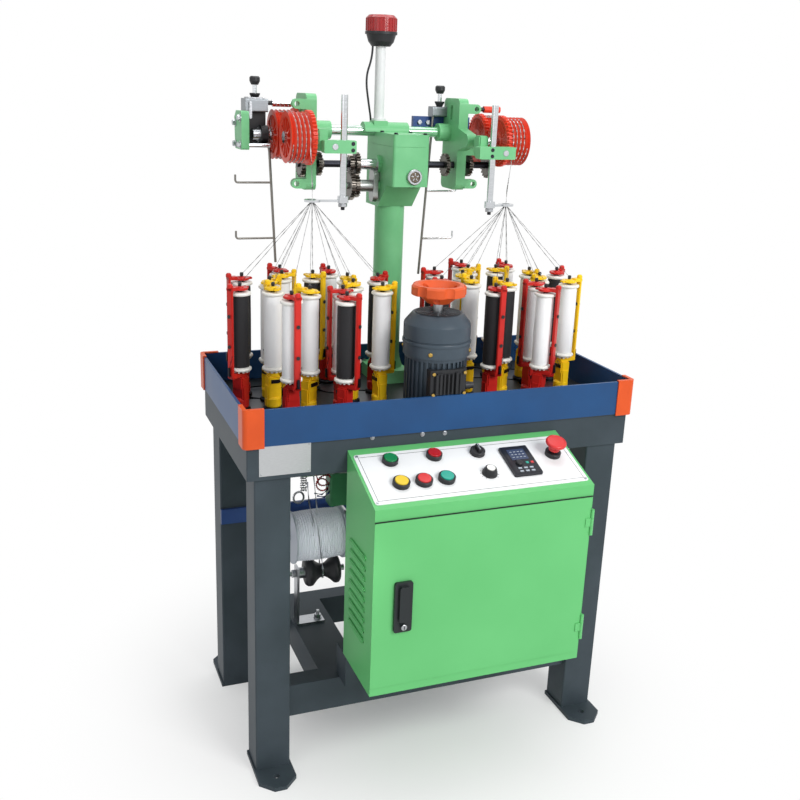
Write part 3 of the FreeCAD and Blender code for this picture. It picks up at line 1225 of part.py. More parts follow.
def build_control_box():
    left, right = BOX_X
    shell = box_profile(0, BOX_X).cut(box_profile(BOX_WALL, (left + BOX_WALL, right - BOX_WALL)))
    hole_x, hole_z = door_opening(LOOSE_GAP)
    shell = shell.cut(box(hole_x, (BOX_FRONT, BOX_FRONT + BOX_WALL), hole_z))
    step = (LOUVRE_Z[1] - LOUVRE_Z[0]) / (LOUVRES - 1)
    louvre_y = (BOX_FRONT + LOUVRE_Y[0], BOX_FRONT + LOUVRE_Y[1])
    for k in range(LOUVRES):
        z = LOUVRE_Z[0] + step * k
        slit = box((left, left + BOX_WALL), louvre_y, (z - LOUVRE_SLIT / 2, z + LOUVRE_SLIT / 2))
        shell = shell.cut(slit)
        hood = face_of([V(left, 0, z + LOUVRE_SLIT / 2 + 4), V(left, 0, z + LOUVRE_SLIT / 2),
                        V(left - 5, 0, z - LOUVRE_SLIT / 2)]).extrude(V(0, louvre_y[1] - louvre_y[0], 0))
        hood.translate(V(0, louvre_y[0], 0))
        shell = shell.fuse(hood)
    for place in list(BUTTONS.values()) + [SELECTOR, SPEED_KNOB, ESTOP]:
        shell = shell.cut(on_panel(control_hole(place)))
    for low, high in HINGES_Z:
        knuckle_y = BOX_FRONT - FREE_GAP - HINGE_R
        below = (low - HINGE_PART - FREE_GAP, low - FREE_GAP)
        above = (high + FREE_GAP, high + HINGE_PART + FREE_GAP)
        for z in (below, above):
            barrel = upright(HINGE_R, right, knuckle_y, z)
            leaf = box((right, right + 2), (knuckle_y, BOX_FRONT + 18), z)
            shell = shell.fuse([barrel, leaf])
    save("control_box", shell.removeSplitter())


def control_hole(place):
    """Hole through the sloped sheet and the panel plate for a control's stem."""
    return upright(CONTROL_STEM_R + FREE_GAP, place[0], place[1], (-BOX_WALL * 2, PANEL_PLATE * 2))


def bezel(place, bore_r):
    return turned([
        (bore_r, PANEL_PLATE),
        (BEZEL_R, PANEL_PLATE),
        (BEZEL_R, PANEL_PLATE + BEZEL_RISE - 1),
        (BEZEL_R - 1, PANEL_PLATE + BEZEL_RISE),
        (bore_r, PANEL_PLATE + BEZEL_RISE),
    ], (place[0], place[1], 0), Z_AXIS)


def build_panel():
    """White plate on the slope with the lamps, the bezels, the display and the stop's collar."""
    slope_length = (BOX_BACK - BOX_FRONT) / math.cos(math.radians(BOX_SLOPE))
    plate = box((BOX_X[0] + PANEL_MARGIN_X, BOX_X[1] - PANEL_MARGIN_X),
                (PANEL_MARGIN_LOW, slope_length - PANEL_MARGIN_HIGH), (0, PANEL_PLATE))
    plate = rounded(plate, 6, Z_AXIS)
    wide, deep, rise = DISPLAY_SIZE
    x, s = DISPLAY
    pieces = []
    for place in list(BUTTONS.values()) + [SELECTOR, SPEED_KNOB]:
        plate = plate.cut(control_hole(place))
        pieces.append(bezel(place, CAP_R + FREE_GAP))
    plate = plate.cut(control_hole(ESTOP))
    pieces.append(rounded(box((x - wide / 2, x + wide / 2), (s - deep / 2, s + deep / 2),
                              (PANEL_PLATE, PANEL_PLATE + rise)), 3, Z_AXIS))
    for place in LAMPS.values():
        pieces.append(bezel(place, LAMP_R))
        pieces.append(turned([
            (0, PANEL_PLATE),
            (LAMP_R, PANEL_PLATE),
            (LAMP_R, LAMP_RISE - 3),
            (LAMP_R - 4, LAMP_RISE),
            (0, LAMP_RISE),
        ], (place[0], place[1], 0), Z_AXIS))
    pieces.append(turned([
        (CONTROL_STEM_R + FREE_GAP, PANEL_PLATE),
        (ESTOP_COLLAR_R, PANEL_PLATE),
        (ESTOP_COLLAR_R, PANEL_PLATE + ESTOP_COLLAR),
        (CONTROL_STEM_R + FREE_GAP, PANEL_PLATE + ESTOP_COLLAR),
    ], (ESTOP[0], ESTOP[1], 0), Z_AXIS))
    save("panel_plate", [on_panel(piece) for piece in [plate] + pieces])


def build_controls():
    for node, place in BUTTONS.items():
        low = PANEL_PLATE + BEZEL_RISE
        save(node, on_panel(turned([
            (0, -CONTROL_DEPTH),
            (CONTROL_STEM_R, -CONTROL_DEPTH),
            (CONTROL_STEM_R, low),
            (CAP_R, low),
            (CAP_R, low + CAP_RISE - 1),
            (CAP_R - 1, low + CAP_RISE),
            (0, low + CAP_RISE),
        ], (place[0], place[1], 0), Z_AXIS)))
    low = PANEL_PLATE + ESTOP_COLLAR + ESTOP_TRAVEL + 1
    save("estop_button", on_panel(turned([
        (0, -CONTROL_DEPTH),
        (CONTROL_STEM_R, -CONTROL_DEPTH),
        (CONTROL_STEM_R, low),
        (ESTOP_COLLAR_R - 3, low),
        (ESTOP_COLLAR_R - 2, low + 8),
        (ESTOP_R, ESTOP_RISE - 8),
        (ESTOP_R, ESTOP_RISE - 3),
        (ESTOP_R - 5, ESTOP_RISE),
        (0, ESTOP_RISE),
    ], (ESTOP[0], ESTOP[1], 0), Z_AXIS)))
    for node, place, rise in (("selector_knob", SELECTOR, 9.0), ("speed_knob", SPEED_KNOB, 16.0)):
        low = PANEL_PLATE + FREE_GAP
        knob = turned([
            (0, -CONTROL_DEPTH),
            (CONTROL_STEM_R, -CONTROL_DEPTH),
            (CONTROL_STEM_R, low),
            (CAP_R, low),
            (CAP_R, low + rise - 1),
            (CAP_R - 1, low + rise),
            (0, low + rise),
        ], (place[0], place[1], 0), Z_AXIS)
        grip_x = (place[0] - GRIP_WIDTH / 2, place[0] + GRIP_WIDTH / 2)
        if node == "selector_knob":
            grip = box(grip_x, (place[1] - CAP_R + 0.5, place[1] + CAP_R - 0.5), (low, low + rise + 8))
            knob = fuse([knob, grip])
        else:
            mark = box((place[0] - 1, place[0] + 1), (place[1] + 3, place[1] + CAP_R),
                       (low + rise - 1, low + rise))
            knob = knob.cut(mark)
        save(node, on_panel(knob))


def build_door():
    """Sheet door with a folded lip, hinge barrels on its right edge and the black lock handle."""
    back = BOX_FRONT - FREE_GAP
    sheet = box(DOOR_X, (back - DOOR_THICK, back), DOOR_Z)
    lip_x, lip_z = door_opening(0)
    lip = box(lip_x, (back, BOX_FRONT + DOOR_LIP), lip_z)
    inner_x = (lip_x[0] + DOOR_THICK, lip_x[1] - DOOR_THICK)
    inner_z = (lip_z[0] + DOOR_THICK, lip_z[1] - DOOR_THICK)
    lip = lip.cut(box(inner_x, (back, BOX_FRONT + DOOR_LIP), inner_z))
    pieces = [rounded(sheet, 4, Y_AXIS), lip]
    knuckle_y = back - HINGE_R
    for z in HINGES_Z:
        pieces.append(upright(HINGE_R, BOX_X[1], knuckle_y, z))
        pieces.append(box((BOX_X[1] - 16, BOX_X[1]), (knuckle_y - 1, back - DOOR_THICK), z))
    face = back - DOOR_THICK
    lock = box((LOCK_X - LOCK_WIDTH / 2, LOCK_X + LOCK_WIDTH / 2), (face - 7, face), LOCK_Z)
    lock = rounded(lock, 5, Y_AXIS)
    lever = box((LOCK_X - LOCK_WIDTH / 2 + 9, LOCK_X + LOCK_WIDTH / 2 - 9), (face - 14, face - 7),
                (LOCK_Z[0] + 26, LOCK_Z[1] - 8))
    save("box_door", [fuse(pieces), fuse([lock, rounded(lever, 5, Y_AXIS)])])


# ---- Under the table ----
def build_under_table():
    """Flat bar on the back legs, the spool's arm and axle, the roller's bracket, the hanging block."""
    low, high, front, back = SHELF_BAR
    reach = LEG_X + LEG_SIZE / 2
    leg_face = LEG_Y - LEG_SIZE / 2
    bar = box((-reach, reach), (leg_face - (back - front), leg_face), (low, high))
    arm_front = leg_face - (back - front)
    arm_x = SPOOL_X[1] + SPOOL_ARM_GAP
    arm = box((arm_x, arm_x + BRACKET_THICK), (SPOOL_Y - 14, arm_front), (SPOOL_Z - 15, high))
    arm = rounded(arm, 10, X_AXIS)
    axle = cyl(SPOOL_AXLE_R, (SPOOL_X[0] - 8, SPOOL_Y, SPOOL_Z), X_AXIS,
               arm_x + BRACKET_THICK + 24 - SPOOL_X[0])
    collar = cyl(SPOOL_AXLE_R + 6, (arm_x - SPOOL_ARM_GAP + FREE_GAP, SPOOL_Y, SPOOL_Z), X_AXIS,
                 SPOOL_ARM_GAP - FREE_GAP)
    spool_hanger = fuse([bar, arm, axle, collar])
    rail_top = RAIL_BOTTOM + RAIL_HEIGHT
    upright_x = ROLLER_X[0] - 16 - BRACKET_THICK
    foot = box((upright_x, CROSS_RAIL_X + CROSS_RAIL_WIDTH / 2 - 22), (SPOOL_Y - 20, SPOOL_Y + 20),
               (rail_top, rail_top + BRACKET_THICK))
    stand = box((upright_x, upright_x + BRACKET_THICK), (SPOOL_Y - 15, SPOOL_Y + 15),
                (rail_top, ROLLER_Z + 18))
    pin = cyl(SPOOL_AXLE_R, (upright_x, SPOOL_Y, ROLLER_Z), X_AXIS, ROLLER_X[1] + 8 - upright_x)
    washer = cyl(SPOOL_AXLE_R + 6, (upright_x + BRACKET_THICK, SPOOL_Y, ROLLER_Z), X_AXIS,
                 ROLLER_X[0] - FREE_GAP - upright_x - BRACKET_THICK)
    roller_stand = fuse([foot, stand, pin, washer])
    block = rounded(box(GREEN_BLOCK_X, (SPOOL_Y - 22, SPOOL_Y + 22), GREEN_BLOCK_Z), 5, Z_AXIS)
    middle = (GREEN_BLOCK_X[0] + GREEN_BLOCK_X[1]) / 2
    hanger = upright(7, middle, SPOOL_Y, (GREEN_BLOCK_Z[1], FRAME_BOTTOM))
    plate = upright(16, middle, SPOOL_Y, (FRAME_BOTTOM - 6, FRAME_BOTTOM))
    save("under_table_brackets", [spool_hanger, roller_stand, fuse([block, hanger, plate])])
    length = SPOOL_X[1] - SPOOL_X[0]
    save("cord_spool", turned([
        (SPOOL_AXLE_R + RUN_FIT, 0),
        (SPOOL_R, 0),
        (SPOOL_R, SPOOL_FLANGE),
        (SPOOL_CORE_R, SPOOL_FLANGE),
        (SPOOL_CORE_R, length - SPOOL_FLANGE),
        (SPOOL_R, length - SPOOL_FLANGE),
        (SPOOL_R, length),
        (SPOOL_AXLE_R + RUN_FIT, length),
    ], (SPOOL_X[0], SPOOL_Y, SPOOL_Z), X_AXIS))
    width = ROLLER_X[1] - ROLLER_X[0]
    save("guide_roller", turned([
        (SPOOL_AXLE_R + RUN_FIT, 0),
        (ROLLER_R - 5, 0),
        (ROLLER_R, 6),
        (ROLLER_R, 16),
        (ROLLER_WAIST_R, 30),
        (ROLLER_WAIST_R, width - 30),
        (ROLLER_R, width - 16),
        (ROLLER_R, width - 6),
        (ROLLER_R - 5, width),
        (SPOOL_AXLE_R + RUN_FIT, width),
    ], (ROLLER_X[0], SPOOL_Y, ROLLER_Z), X_AXIS))


# ---- Yarn ----
def build_yarns():
    """A straight yarn from each carrier's top to its ring, and the braid from ring to wheels."""
    pieces = []
    groove_pitch = (WHEEL_WIDTH - WHEEL_RIM) / WHEEL_GROOVES
    flank = math.atan2(groove_pitch / 2, GROOVE_DEPTH)
    wrap_r = WHEEL_R - GROOVE_DEPTH + (BRAID_R + FREE_GAP) / math.sin(flank)
    for (name, head_x), ring_z, groove_x in (
        (HEADS[0], RING_Z_LEFT, LEFT_WHEEL_X + WHEEL_WIDTH - WHEEL_RIM - groove_pitch / 2),
        (HEADS[1], RING_Z_RIGHT, RIGHT_WHEEL_X + WHEEL_RIM + groove_pitch / 2),
    ):
        meet_z = ring_z - RING_THICK - 2
        for k, gx, gy, angle in horn_centres(head_x):
            for side in (0, 1):
                turn = math.radians(angle + carrier_turn(k) + 180 * side)
                start = V(gx + HORN_R * math.cos(turn), gy + HORN_R * math.sin(turn), CARRIER_TOP + FREE_GAP)
                slot = math.atan2(start.y - HEAD_Y, start.x - head_x)
                meet = V(head_x + MEET_R * math.cos(slot), HEAD_Y + MEET_R * math.sin(slot), meet_z)
                run = meet - start
                pieces.append(Part.makeCylinder(YARN_R, run.Length, start, run))
        top_z = WHEEL_Z + wrap_r
        front_y = FRONT_WHEEL_Y - wrap_r
        route = [
            (head_x, HEAD_Y, meet_z),
            (groove_x, front_y, WHEEL_Z - BRAID_LEAD),
            (groove_x, front_y, top_z),
            (groove_x, REAR_WHEEL_Y, top_z),
        ]
        pieces.append(rod_path(route, BRAID_R, (BRAID_LEAD * 0.45, wrap_r)))
    save("yarns", pieces)


def main():
    os.makedirs("parts", exist_ok=True)
    build_stand()
    build_table_frame()
    build_track_plate()
    build_skirt()
    build_studs()
    build_horn_gears()
    build_table_gears()
    build_motor()
    build_column()
    build_gearbox()
    build_cross_bar()
    build_beacon()
    build_cross_drive()
    build_wheels()
    build_take_up_frames()
    build_guides()
    build_nip_units()
    build_control_box()
    build_panel()
    build_controls()
    build_door()
    build_under_table()
    build_yarns()


main()
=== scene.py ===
import bmesh
import bpy
from math import atan2, cos, pi, radians, sin, tau
from mathutils import Matrix, Vector


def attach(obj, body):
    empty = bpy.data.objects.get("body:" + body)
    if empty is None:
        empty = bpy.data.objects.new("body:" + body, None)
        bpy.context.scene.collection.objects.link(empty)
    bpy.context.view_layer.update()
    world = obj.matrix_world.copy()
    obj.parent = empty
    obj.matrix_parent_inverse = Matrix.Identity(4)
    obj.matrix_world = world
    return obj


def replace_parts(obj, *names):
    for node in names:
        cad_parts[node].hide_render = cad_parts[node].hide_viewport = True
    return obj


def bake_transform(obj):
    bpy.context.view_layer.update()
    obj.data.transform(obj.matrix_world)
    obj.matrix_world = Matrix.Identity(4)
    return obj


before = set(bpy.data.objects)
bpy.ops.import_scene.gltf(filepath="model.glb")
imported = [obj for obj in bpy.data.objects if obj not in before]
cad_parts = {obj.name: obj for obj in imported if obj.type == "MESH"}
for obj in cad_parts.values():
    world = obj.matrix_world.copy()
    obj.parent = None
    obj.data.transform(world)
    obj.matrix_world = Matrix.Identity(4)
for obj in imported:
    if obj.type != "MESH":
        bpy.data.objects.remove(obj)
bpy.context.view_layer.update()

# ---- Camera ----
# A 45 mm lens at head height, in front of the machine and to its left, looking down at the tray. The
# camera is held a little askew.
EYE = Vector((-0.8833, -2.1427, 1.5308))
YAW = radians(21.7)
PITCH = radians(17.4)
ROLL = radians(2.2)
LENS_MM = 44.89

scene = bpy.context.scene
ahead = Vector((sin(YAW) * cos(PITCH), cos(YAW) * cos(PITCH), -sin(PITCH)))
level = Vector((cos(YAW), -sin(YAW), 0))
upward = level.cross(ahead)
across = level * cos(ROLL) + upward * sin(ROLL)
upright = upward * cos(ROLL) - level * sin(ROLL)
lens = bpy.data.cameras.new("camera")
lens.lens = LENS_MM
camera = bpy.data.objects.new("camera", lens)
camera.matrix_world = Matrix.Translation(EYE) @ Matrix((across, upright, -ahead)).transposed().to_4x4()
scene.collection.objects.link(camera)
scene.camera = camera
scene.view_settings.view_transform = "Standard"

# ---- Floor, backdrop and light ----
# A pale paper floor that fades into a white backdrop, under three large soft lamps. A narrow spot lifts
# the cord reel in the shade under the table.
FLOOR_SIZE = 12.0
FLOOR_DROP = 0.0005     # the floor lies this far under the feet, so that the two faces don't flicker
CLOUDS_PER_METRE = 3.0
FADE_START = 0.0
FADE_END = 0.95
MACHINE_MIDDLE = (0, 0, 0.9)
REEL = (-0.225, 0.0, 0.47)


def srgb(text, share=1.0):
    """The linear colour of an sRGB hex value, or a darker share of it."""
    channels = [int(text[i:i + 2], 16) / 255 for i in (1, 3, 5)]
    return [share * (c / 12.92 if c < 0.04045 else ((c + 0.055) / 1.055) ** 2.4) for c in channels] + [1.0]


def add(tree, kind, settings=()):
    """Add one node. A setting names a property or an input, and a node or socket given to it is linked."""
    node = tree.nodes.new(kind)
    for key, value in dict(settings).items():
        if isinstance(value, bpy.types.Node):
            value = next(socket for socket in value.outputs if socket.enabled)
        if isinstance(value, bpy.types.NodeSocket):
            tree.links.new(value, node.inputs[key])
        elif isinstance(key, str) and hasattr(node, key):
            setattr(node, key, value)
        else:
            node.inputs[key].default_value = value
    return node


def blank(name):
    """A new material, its empty tree and the object coordinates that its patterns read."""
    material = bpy.data.materials.new(name)
    material.use_nodes = True
    tree = material.node_tree
    tree.nodes.clear()
    return material, tree, add(tree, "ShaderNodeTexCoord").outputs["Object"]


def plainly_seen(tree):
    """One for rays from the camera, through glass and off gloss, which see the backdrop as it is."""
    rays = add(tree, "ShaderNodeLightPath").outputs
    straight = add(tree, "ShaderNodeMath", {"operation": "MAXIMUM", 0: rays["Is Camera Ray"],
                                            1: rays["Is Transmission Ray"]})
    return add(tree, "ShaderNodeMath", {"operation": "MAXIMUM", 0: straight, 1: rays["Is Glossy Ray"]})


# Matt studio paper, with clouds 330 mm wide where its fibres lie thick and look a trace whiter.
paper, tree, coords = blank("studio_paper")
grain = add(tree, "ShaderNodeTexNoise", {"Scale": CLOUDS_PER_METRE, "Vector": coords})
tint = add(tree, "ShaderNodeMix", {"data_type": "RGBA", 0: grain, 6: srgb("#f4f4f3"), 7: srgb("#fafaf9")})
shaded = add(tree, "ShaderNodeBsdfPrincipled", {"Base Color": tint, "Roughness": 0.9})
away = add(tree, "ShaderNodeVectorMath", {"operation": "LENGTH", 0: coords})
fade = add(tree, "ShaderNodeMapRange", {"interpolation_type": "SMOOTHSTEP", 0: away, 1: FADE_START,
                                        2: FADE_END})
glow = add(tree, "ShaderNodeEmission", {"Color": (1, 1, 1, 1), "Strength": 1.0})
share = add(tree, "ShaderNodeMath", {"operation": "MULTIPLY", 0: fade, 1: plainly_seen(tree)})
sweep = add(tree, "ShaderNodeMixShader", {0: share, 1: shaded, 2: glow})
add(tree, "ShaderNodeOutputMaterial", {"Surface": sweep})
bpy.ops.mesh.primitive_plane_add(size=FLOOR_SIZE, location=(0, 0, -FLOOR_DROP))
floor = bpy.context.object
floor.name = "floor"
floor.data.materials.append(paper)

world = bpy.data.worlds.new("studio")
scene.world = world
world.use_nodes = True
tree = world.node_tree
tree.nodes.clear()
fill = add(tree, "ShaderNodeBackground", {"Color": srgb("#f4f6f8"), "Strength": 0.47})
white = add(tree, "ShaderNodeBackground", {"Color": (1, 1, 1, 1), "Strength": 1.0})
sky = add(tree, "ShaderNodeMixShader", {0: plainly_seen(tree), 1: fill, 2: white})
add(tree, "ShaderNodeOutputWorld", {"Surface": sky})

for name, kind, place, aim, watts, form in (
    ("key_lamp", "AREA", (1.1, -3.0, 2.6), MACHINE_MIDDLE, 88, {"size": 1.6}),
    ("side_lamp", "AREA", (-2.6, -1.6, 2.2), MACHINE_MIDDLE, 9, {"size": 1.8}),
    ("top_lamp", "AREA", (0.2, 0.6, 3.6), MACHINE_MIDDLE, 44, {"size": 2.2}),
    ("reel_spot", "SPOT", (-0.75, -1.75, 0.95), REEL, 62,
     {"spot_size": radians(7), "spot_blend": 0.7, "shadow_soft_size": 0.1}),
):
    lamp = bpy.data.lights.new(name, kind)
    lamp.energy = watts
    for key, value in form.items():
        setattr(lamp, key, value)
    holder = bpy.data.objects.new(name, lamp)
    holder.location = place
    holder.rotation_euler = (Vector(aim) - Vector(place)).to_track_quat("-Z", "Y").to_euler()
    scene.collection.objects.link(holder)

# ---- Stand and table ----
# Welded square tube and plate, sprayed with slate grey enamel; the table frame is bolted on top. The studs
# and gears between its plates are machined steel, kept in oil.


def complete(material, tree, low, high, pattern, relief, strength, depth_mm, values):
    """End a material: a pattern leads from one tone to another, and a relief raises the surface."""
    colour = add(tree, "ShaderNodeMix", {"data_type": "RGBA", 0: pattern, 6: low, 7: high})
    bump = add(tree, "ShaderNodeBump", {"Strength": strength, "Distance": depth_mm / 1000,
                                        "Height": relief})
    shader = add(tree, "ShaderNodeBsdfPrincipled", {"Base Color": colour, "Normal": bump, **values})
    add(tree, "ShaderNodeOutputMaterial", {"Surface": shader})
    return material


def enamel(name, colour, shade, roughness=0.38, peel_mm=2.5, peel=0.08, mottle_mm=90.0, shine=0.3):
    """Sprayed enamel: two near tones in large soft patches and the orange peel that the gun leaves.

    Real peel is under 1 mm across, and is drawn coarser so that it shows.
    """
    material, tree, coords = blank(name)
    patches = add(tree, "ShaderNodeTexNoise", {"Scale": 1000 / mottle_mm, "Detail": 4.0, "Vector": coords})
    tone = add(tree, "ShaderNodeMapRange", {0: patches, 1: 0.3, 2: 0.7})
    gloss = add(tree, "ShaderNodeMapRange", {0: patches, 3: roughness - 0.06, 4: roughness + 0.08})
    orange_peel = add(tree, "ShaderNodeTexNoise", {"Scale": 1000 / peel_mm, "Vector": coords})
    return complete(material, tree, srgb(shade), srgb(colour), tone, orange_peel, peel, depth_mm=0.4,
                    values={"Roughness": gloss, "IOR": 1.5, "Specular IOR Level": shine})


def machined(name, colour, roughness=0.3, line_mm=1.2, along=(1, 1, 12), deep=0.12):
    """Bare machined metal: tool lines run across it and break up its reflections.

    Real tool marks are 0.1 to 0.3 mm apart, and are drawn coarser so that they show.
    """
    material, tree, coords = blank(name)
    stretch = add(tree, "ShaderNodeMapping", {"Scale": along, "Vector": coords})
    lines = add(tree, "ShaderNodeTexNoise", {"Scale": 1000 / line_mm / max(along), "Detail": 3.0,
                                             "Vector": stretch})
    gloss = add(tree, "ShaderNodeMapRange", {0: lines, 3: roughness - 0.1, 4: roughness + 0.12})
    return complete(material, tree, srgb(colour, 0.72), srgb(colour), lines, lines, deep, depth_mm=0.2,
                    values={"Roughness": gloss, "Metallic": 1.0})


def dress(material, *nodes):
    """Give CAD nodes their real finish."""
    for node in nodes:
        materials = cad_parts[node].data.materials
        materials.clear()
        materials.append(material)


# A dark satin coat that hides the welds and shows only a soft sheen along the tubes.
slate_enamel = enamel("slate_enamel", "#444d54", "#3c454b", 0.46, shine=0.14)
# Hobbed gear steel under a film of oil is dark, with broad soft lights.
oiled_steel = machined("oiled_gear_steel", "#6d6f72", 0.36)
# Gears that run in the open wear to a warm brown grey.
gear_steel = machined("worn_gear_steel", "#6a655f", 0.34)
dress(slate_enamel, "stand", "table_frame")
dress(oiled_steel, "gear_studs", "main_gear", "idler_gear", "takeoff_idler", "column_shaft")
dress(gear_steel, "layshaft_gears", "take_up_shaft")

# ---- Deck, skirt and corner caps ----
# The deck is ground steel plate, oiled and dusty with lint; the tray wall is folded sheet in blue enamel,
# closed at each corner by an orange cap held with screws.
# Grinding leaves the deck dull and streaked, 3 mm wide here against 0.2 mm in fact.
deck_steel = machined("oiled_ground_deck", "#4b4f4f", 0.42, line_mm=3.0, along=(1, 6, 1))
# Two satin coats on folded sheet, smooth and evenly lit.
tray_enamel = enamel("tray_blue_enamel", "#1c4c7e", "#1b4370", mottle_mm=130.0)
cap_enamel = enamel("cap_orange_enamel", "#e2581f", "#d4501c")
dress(deck_steel, "track_plate")
dress(tray_enamel, "skirt_panels")
dress(cap_enamel, "corner_caps")

# ---- Carriers on their horn gears ----
# Each carrier is a cast frame painted red or yellow: a foot in the track, a stem, a lower arm, a post with
# two black thread eyes and a top arm; a white nylon bobbin turns on its spindle, full of black or white
# yarn. Two carriers ride on every horn gear.
HEAD_X = (-0.25066, 0.23066)
HEAD_Y = 0.020
HORNS = 8
HORN_RING = 0.130656
HORN_REACH = 0.050
PLATE_TOP = 0.7865      # what lies below is the horn gear itself
DECK_MM = 818.0
TOP_MM = 1104.0         # top of a carrier's arm
SPINDLE_LOW_MM = 900
LEAD = 2 * tau / 20     # two teeth of a horn gear's twenty
RED_ON_SECOND = (7,)    # horn gears whose first carrier is the yellow one
# The (horn gear, end) of the carriers that hold black yarn.
BLACK_YARN = {"left": ((4, 0), (6, 0), (0, 0), (2, 0), (3, 0), (2, 1)),
              "right": ((4, 0), (5, 0), (0, 0), (6, 1), (2, 1), (3, 0))}

draft = bmesh.new()     # what is being drawn, in millimetres, until it is made a mesh


def circle(sides):
    """The cosine and sine of equal steps round a circle."""
    return [(cos(tau * i / sides), sin(tau * i / sides)) for i in range(sides)]


def revolve(profile, paint=0, sides=32, seat=Matrix()):
    """Draw (radius, height) points revolved about the seat's axis; a zero radius closes the form."""
    rings = []
    for radius, height in profile:
        around = circle(sides)[:sides if radius > 0 else 1]
        rings.append([draft.verts.new(seat @ Vector((radius * c, radius * s, height))) for c, s in around])
    for low, high in zip(rings, rings[1:]):
        for i in range(sides):
            j = (i + 1) % sides
            corners = [low[i % len(low)], low[j % len(low)], high[j % len(high)], high[i % len(high)]]
            draft.faces.new(list(dict.fromkeys(corners))).material_index = paint


def stud(radius, low, high, paint=0, sides=32, seat=Matrix(), edge=None, bore=0):
    """Draw a turned disc or ring between two heights, its top edge cut back (inward, down)."""
    profile = [(bore, low), (radius, low), (radius, high), (bore, high)]
    if edge:
        profile[2:3] = [(radius, high - edge[1]), (radius - edge[0], high)]
    revolve(profile + profile[:1] if bore else profile, paint, sides, seat)


def block(low, high, paint=0, bevel=1.0, seat=Matrix()):
    """Draw a box between two corners, its edges rounded by the bevel."""
    middle = (Vector(low) + Vector(high)) / 2
    size = Vector(high) - Vector(low)
    corners = bmesh.ops.create_cube(draft, size=1)["verts"]
    for corner in corners:
        corner.co = seat @ (middle + corner.co * size)
    for face in {f for corner in corners for f in corner.link_faces}:
        face.material_index = paint
    if bevel:
        edges = list({e for corner in corners for e in corner.link_edges})
        bmesh.ops.bevel(draft, geom=edges, offset=bevel, segments=2, affect="EDGES")


def wire(points, radius, paint=0, sides=8):
    """Draw a round rod or wire through points."""
    spots = [Vector(p) for p in points]
    side = Vector((0, 0, 1)) if abs((spots[1] - spots[0]).normalized().z) < 0.9 else Vector((1, 0, 0))
    rings = []
    for index, spot in enumerate(spots):
        run = (spots[min(index + 1, len(spots) - 1)] - spots[max(index - 1, 0)]).normalized()
        first = run.cross(side).normalized()
        side = run.cross(first)
        rings.append([draft.verts.new(spot + radius * (c * first + s * side)) for c, s in circle(sides)])
    for low, high in zip(rings, rings[1:]):
        for i in range(sides):
            j = (i + 1) % sides
            draft.faces.new((low[i], low[j], high[j], high[i])).material_index = paint
    for ring in (rings[0][::-1], rings[-1]):
        draft.faces.new(ring).material_index = paint


def drawn(name, *materials, sharp=35):
    """Make what is drawn a loose object in metres, smooth but for its sharp edges, and clear the draft."""
    bmesh.ops.recalc_face_normals(draft, faces=draft.faces)
    bmesh.ops.scale(draft, vec=(0.001, 0.001, 0.001), verts=draft.verts)
    for face in draft.faces:
        face.smooth = True
    mesh = bpy.data.meshes.new(name)
    draft.to_mesh(mesh)
    draft.clear()
    mesh.set_sharp_from_angle(angle=radians(sharp))
    for material in materials:
        mesh.materials.append(material)
    return bpy.data.objects.new(name, mesh)


def at(x, y, z, way="up"):
    """A seat at a place in millimetres, its axis up or towards the machine's front, right or left."""
    angle, axis = {"up": (0, "X"), "front": (90, "X"), "right": (90, "Y"), "left": (-90, "Y")}[way]
    return Matrix.Translation((x, y, z)) @ Matrix.Rotation(radians(angle), 4, axis)


MARKS_PER_METRE = 14.0


def plastic(name, colour, roughness=0.35, clear=0.0, grain_mm=1.5, grain=0.04):
    """Moulded plastic: the fine grain of a sparked mould and faint marks of handling, 70 mm wide.

    Real mould grain is about 0.1 mm, and is drawn coarser so that it shows.
    """
    material, tree, coords = blank(name)
    dirt = add(tree, "ShaderNodeTexNoise", {"Scale": MARKS_PER_METRE, "Detail": 5.0, "Vector": coords})
    gloss = add(tree, "ShaderNodeMapRange", {0: dirt, 3: roughness - 0.05, 4: roughness + 0.1})
    spark = add(tree, "ShaderNodeTexNoise", {"Scale": 1000 / grain_mm, "Vector": coords})
    return complete(material, tree, srgb(colour, 0.86), srgb(colour), dirt, spark, grain, depth_mm=0.2,
                    values={"Roughness": gloss, "IOR": 1.49, "Specular IOR Level": 0.35,
                            "Transmission Weight": clear})


def windings(name, colour, shade, pitch_mm=0.8, sheen=0.35):
    """Yarn wound in close turns: fine ribs across the bobbin's axis and a soft sheen.

    Yarn of 0.3 mm lies closer than the pitch given, which is coarser so that the turns show. A wave of
    scale 1 repeats every tau / 20 m.
    """
    material, tree, coords = blank(name)
    turns = add(tree, "ShaderNodeTexWave", {
        "wave_type": "BANDS", "bands_direction": "Z", "Scale": tau * 1000 / pitch_mm / 20,
        "Distortion": 2.5, "Detail": 2.0, "Detail Scale": 4.0, "Vector": coords})
    return complete(material, tree, srgb(shade), srgb(colour), turns, turns, strength=0.45, depth_mm=0.4,
                    values={"Roughness": 0.62, "Specular IOR Level": 0.25, "Sheen Weight": sheen})


# Thick gloss paint on castings, with bright rounded edges.
red_paint = enamel("carrier_red_paint", "#cf2a22", "#b3211d", 0.32)
yellow_paint = enamel("carrier_yellow_paint", "#fbd022", "#edbd18", 0.32)
# Black oxide leaves steel nearly black, with a dull metal edge.
black_oxide = machined("black_oxide_steel", "#33343a", 0.42)
# Turned nylon is milky white with a waxy gloss; the black moulding is duller and shows dust.
nylon = plastic("white_nylon", "#f3f2ec", 0.3)
black_moulding = plastic("black_moulding", "#26272a", 0.42)
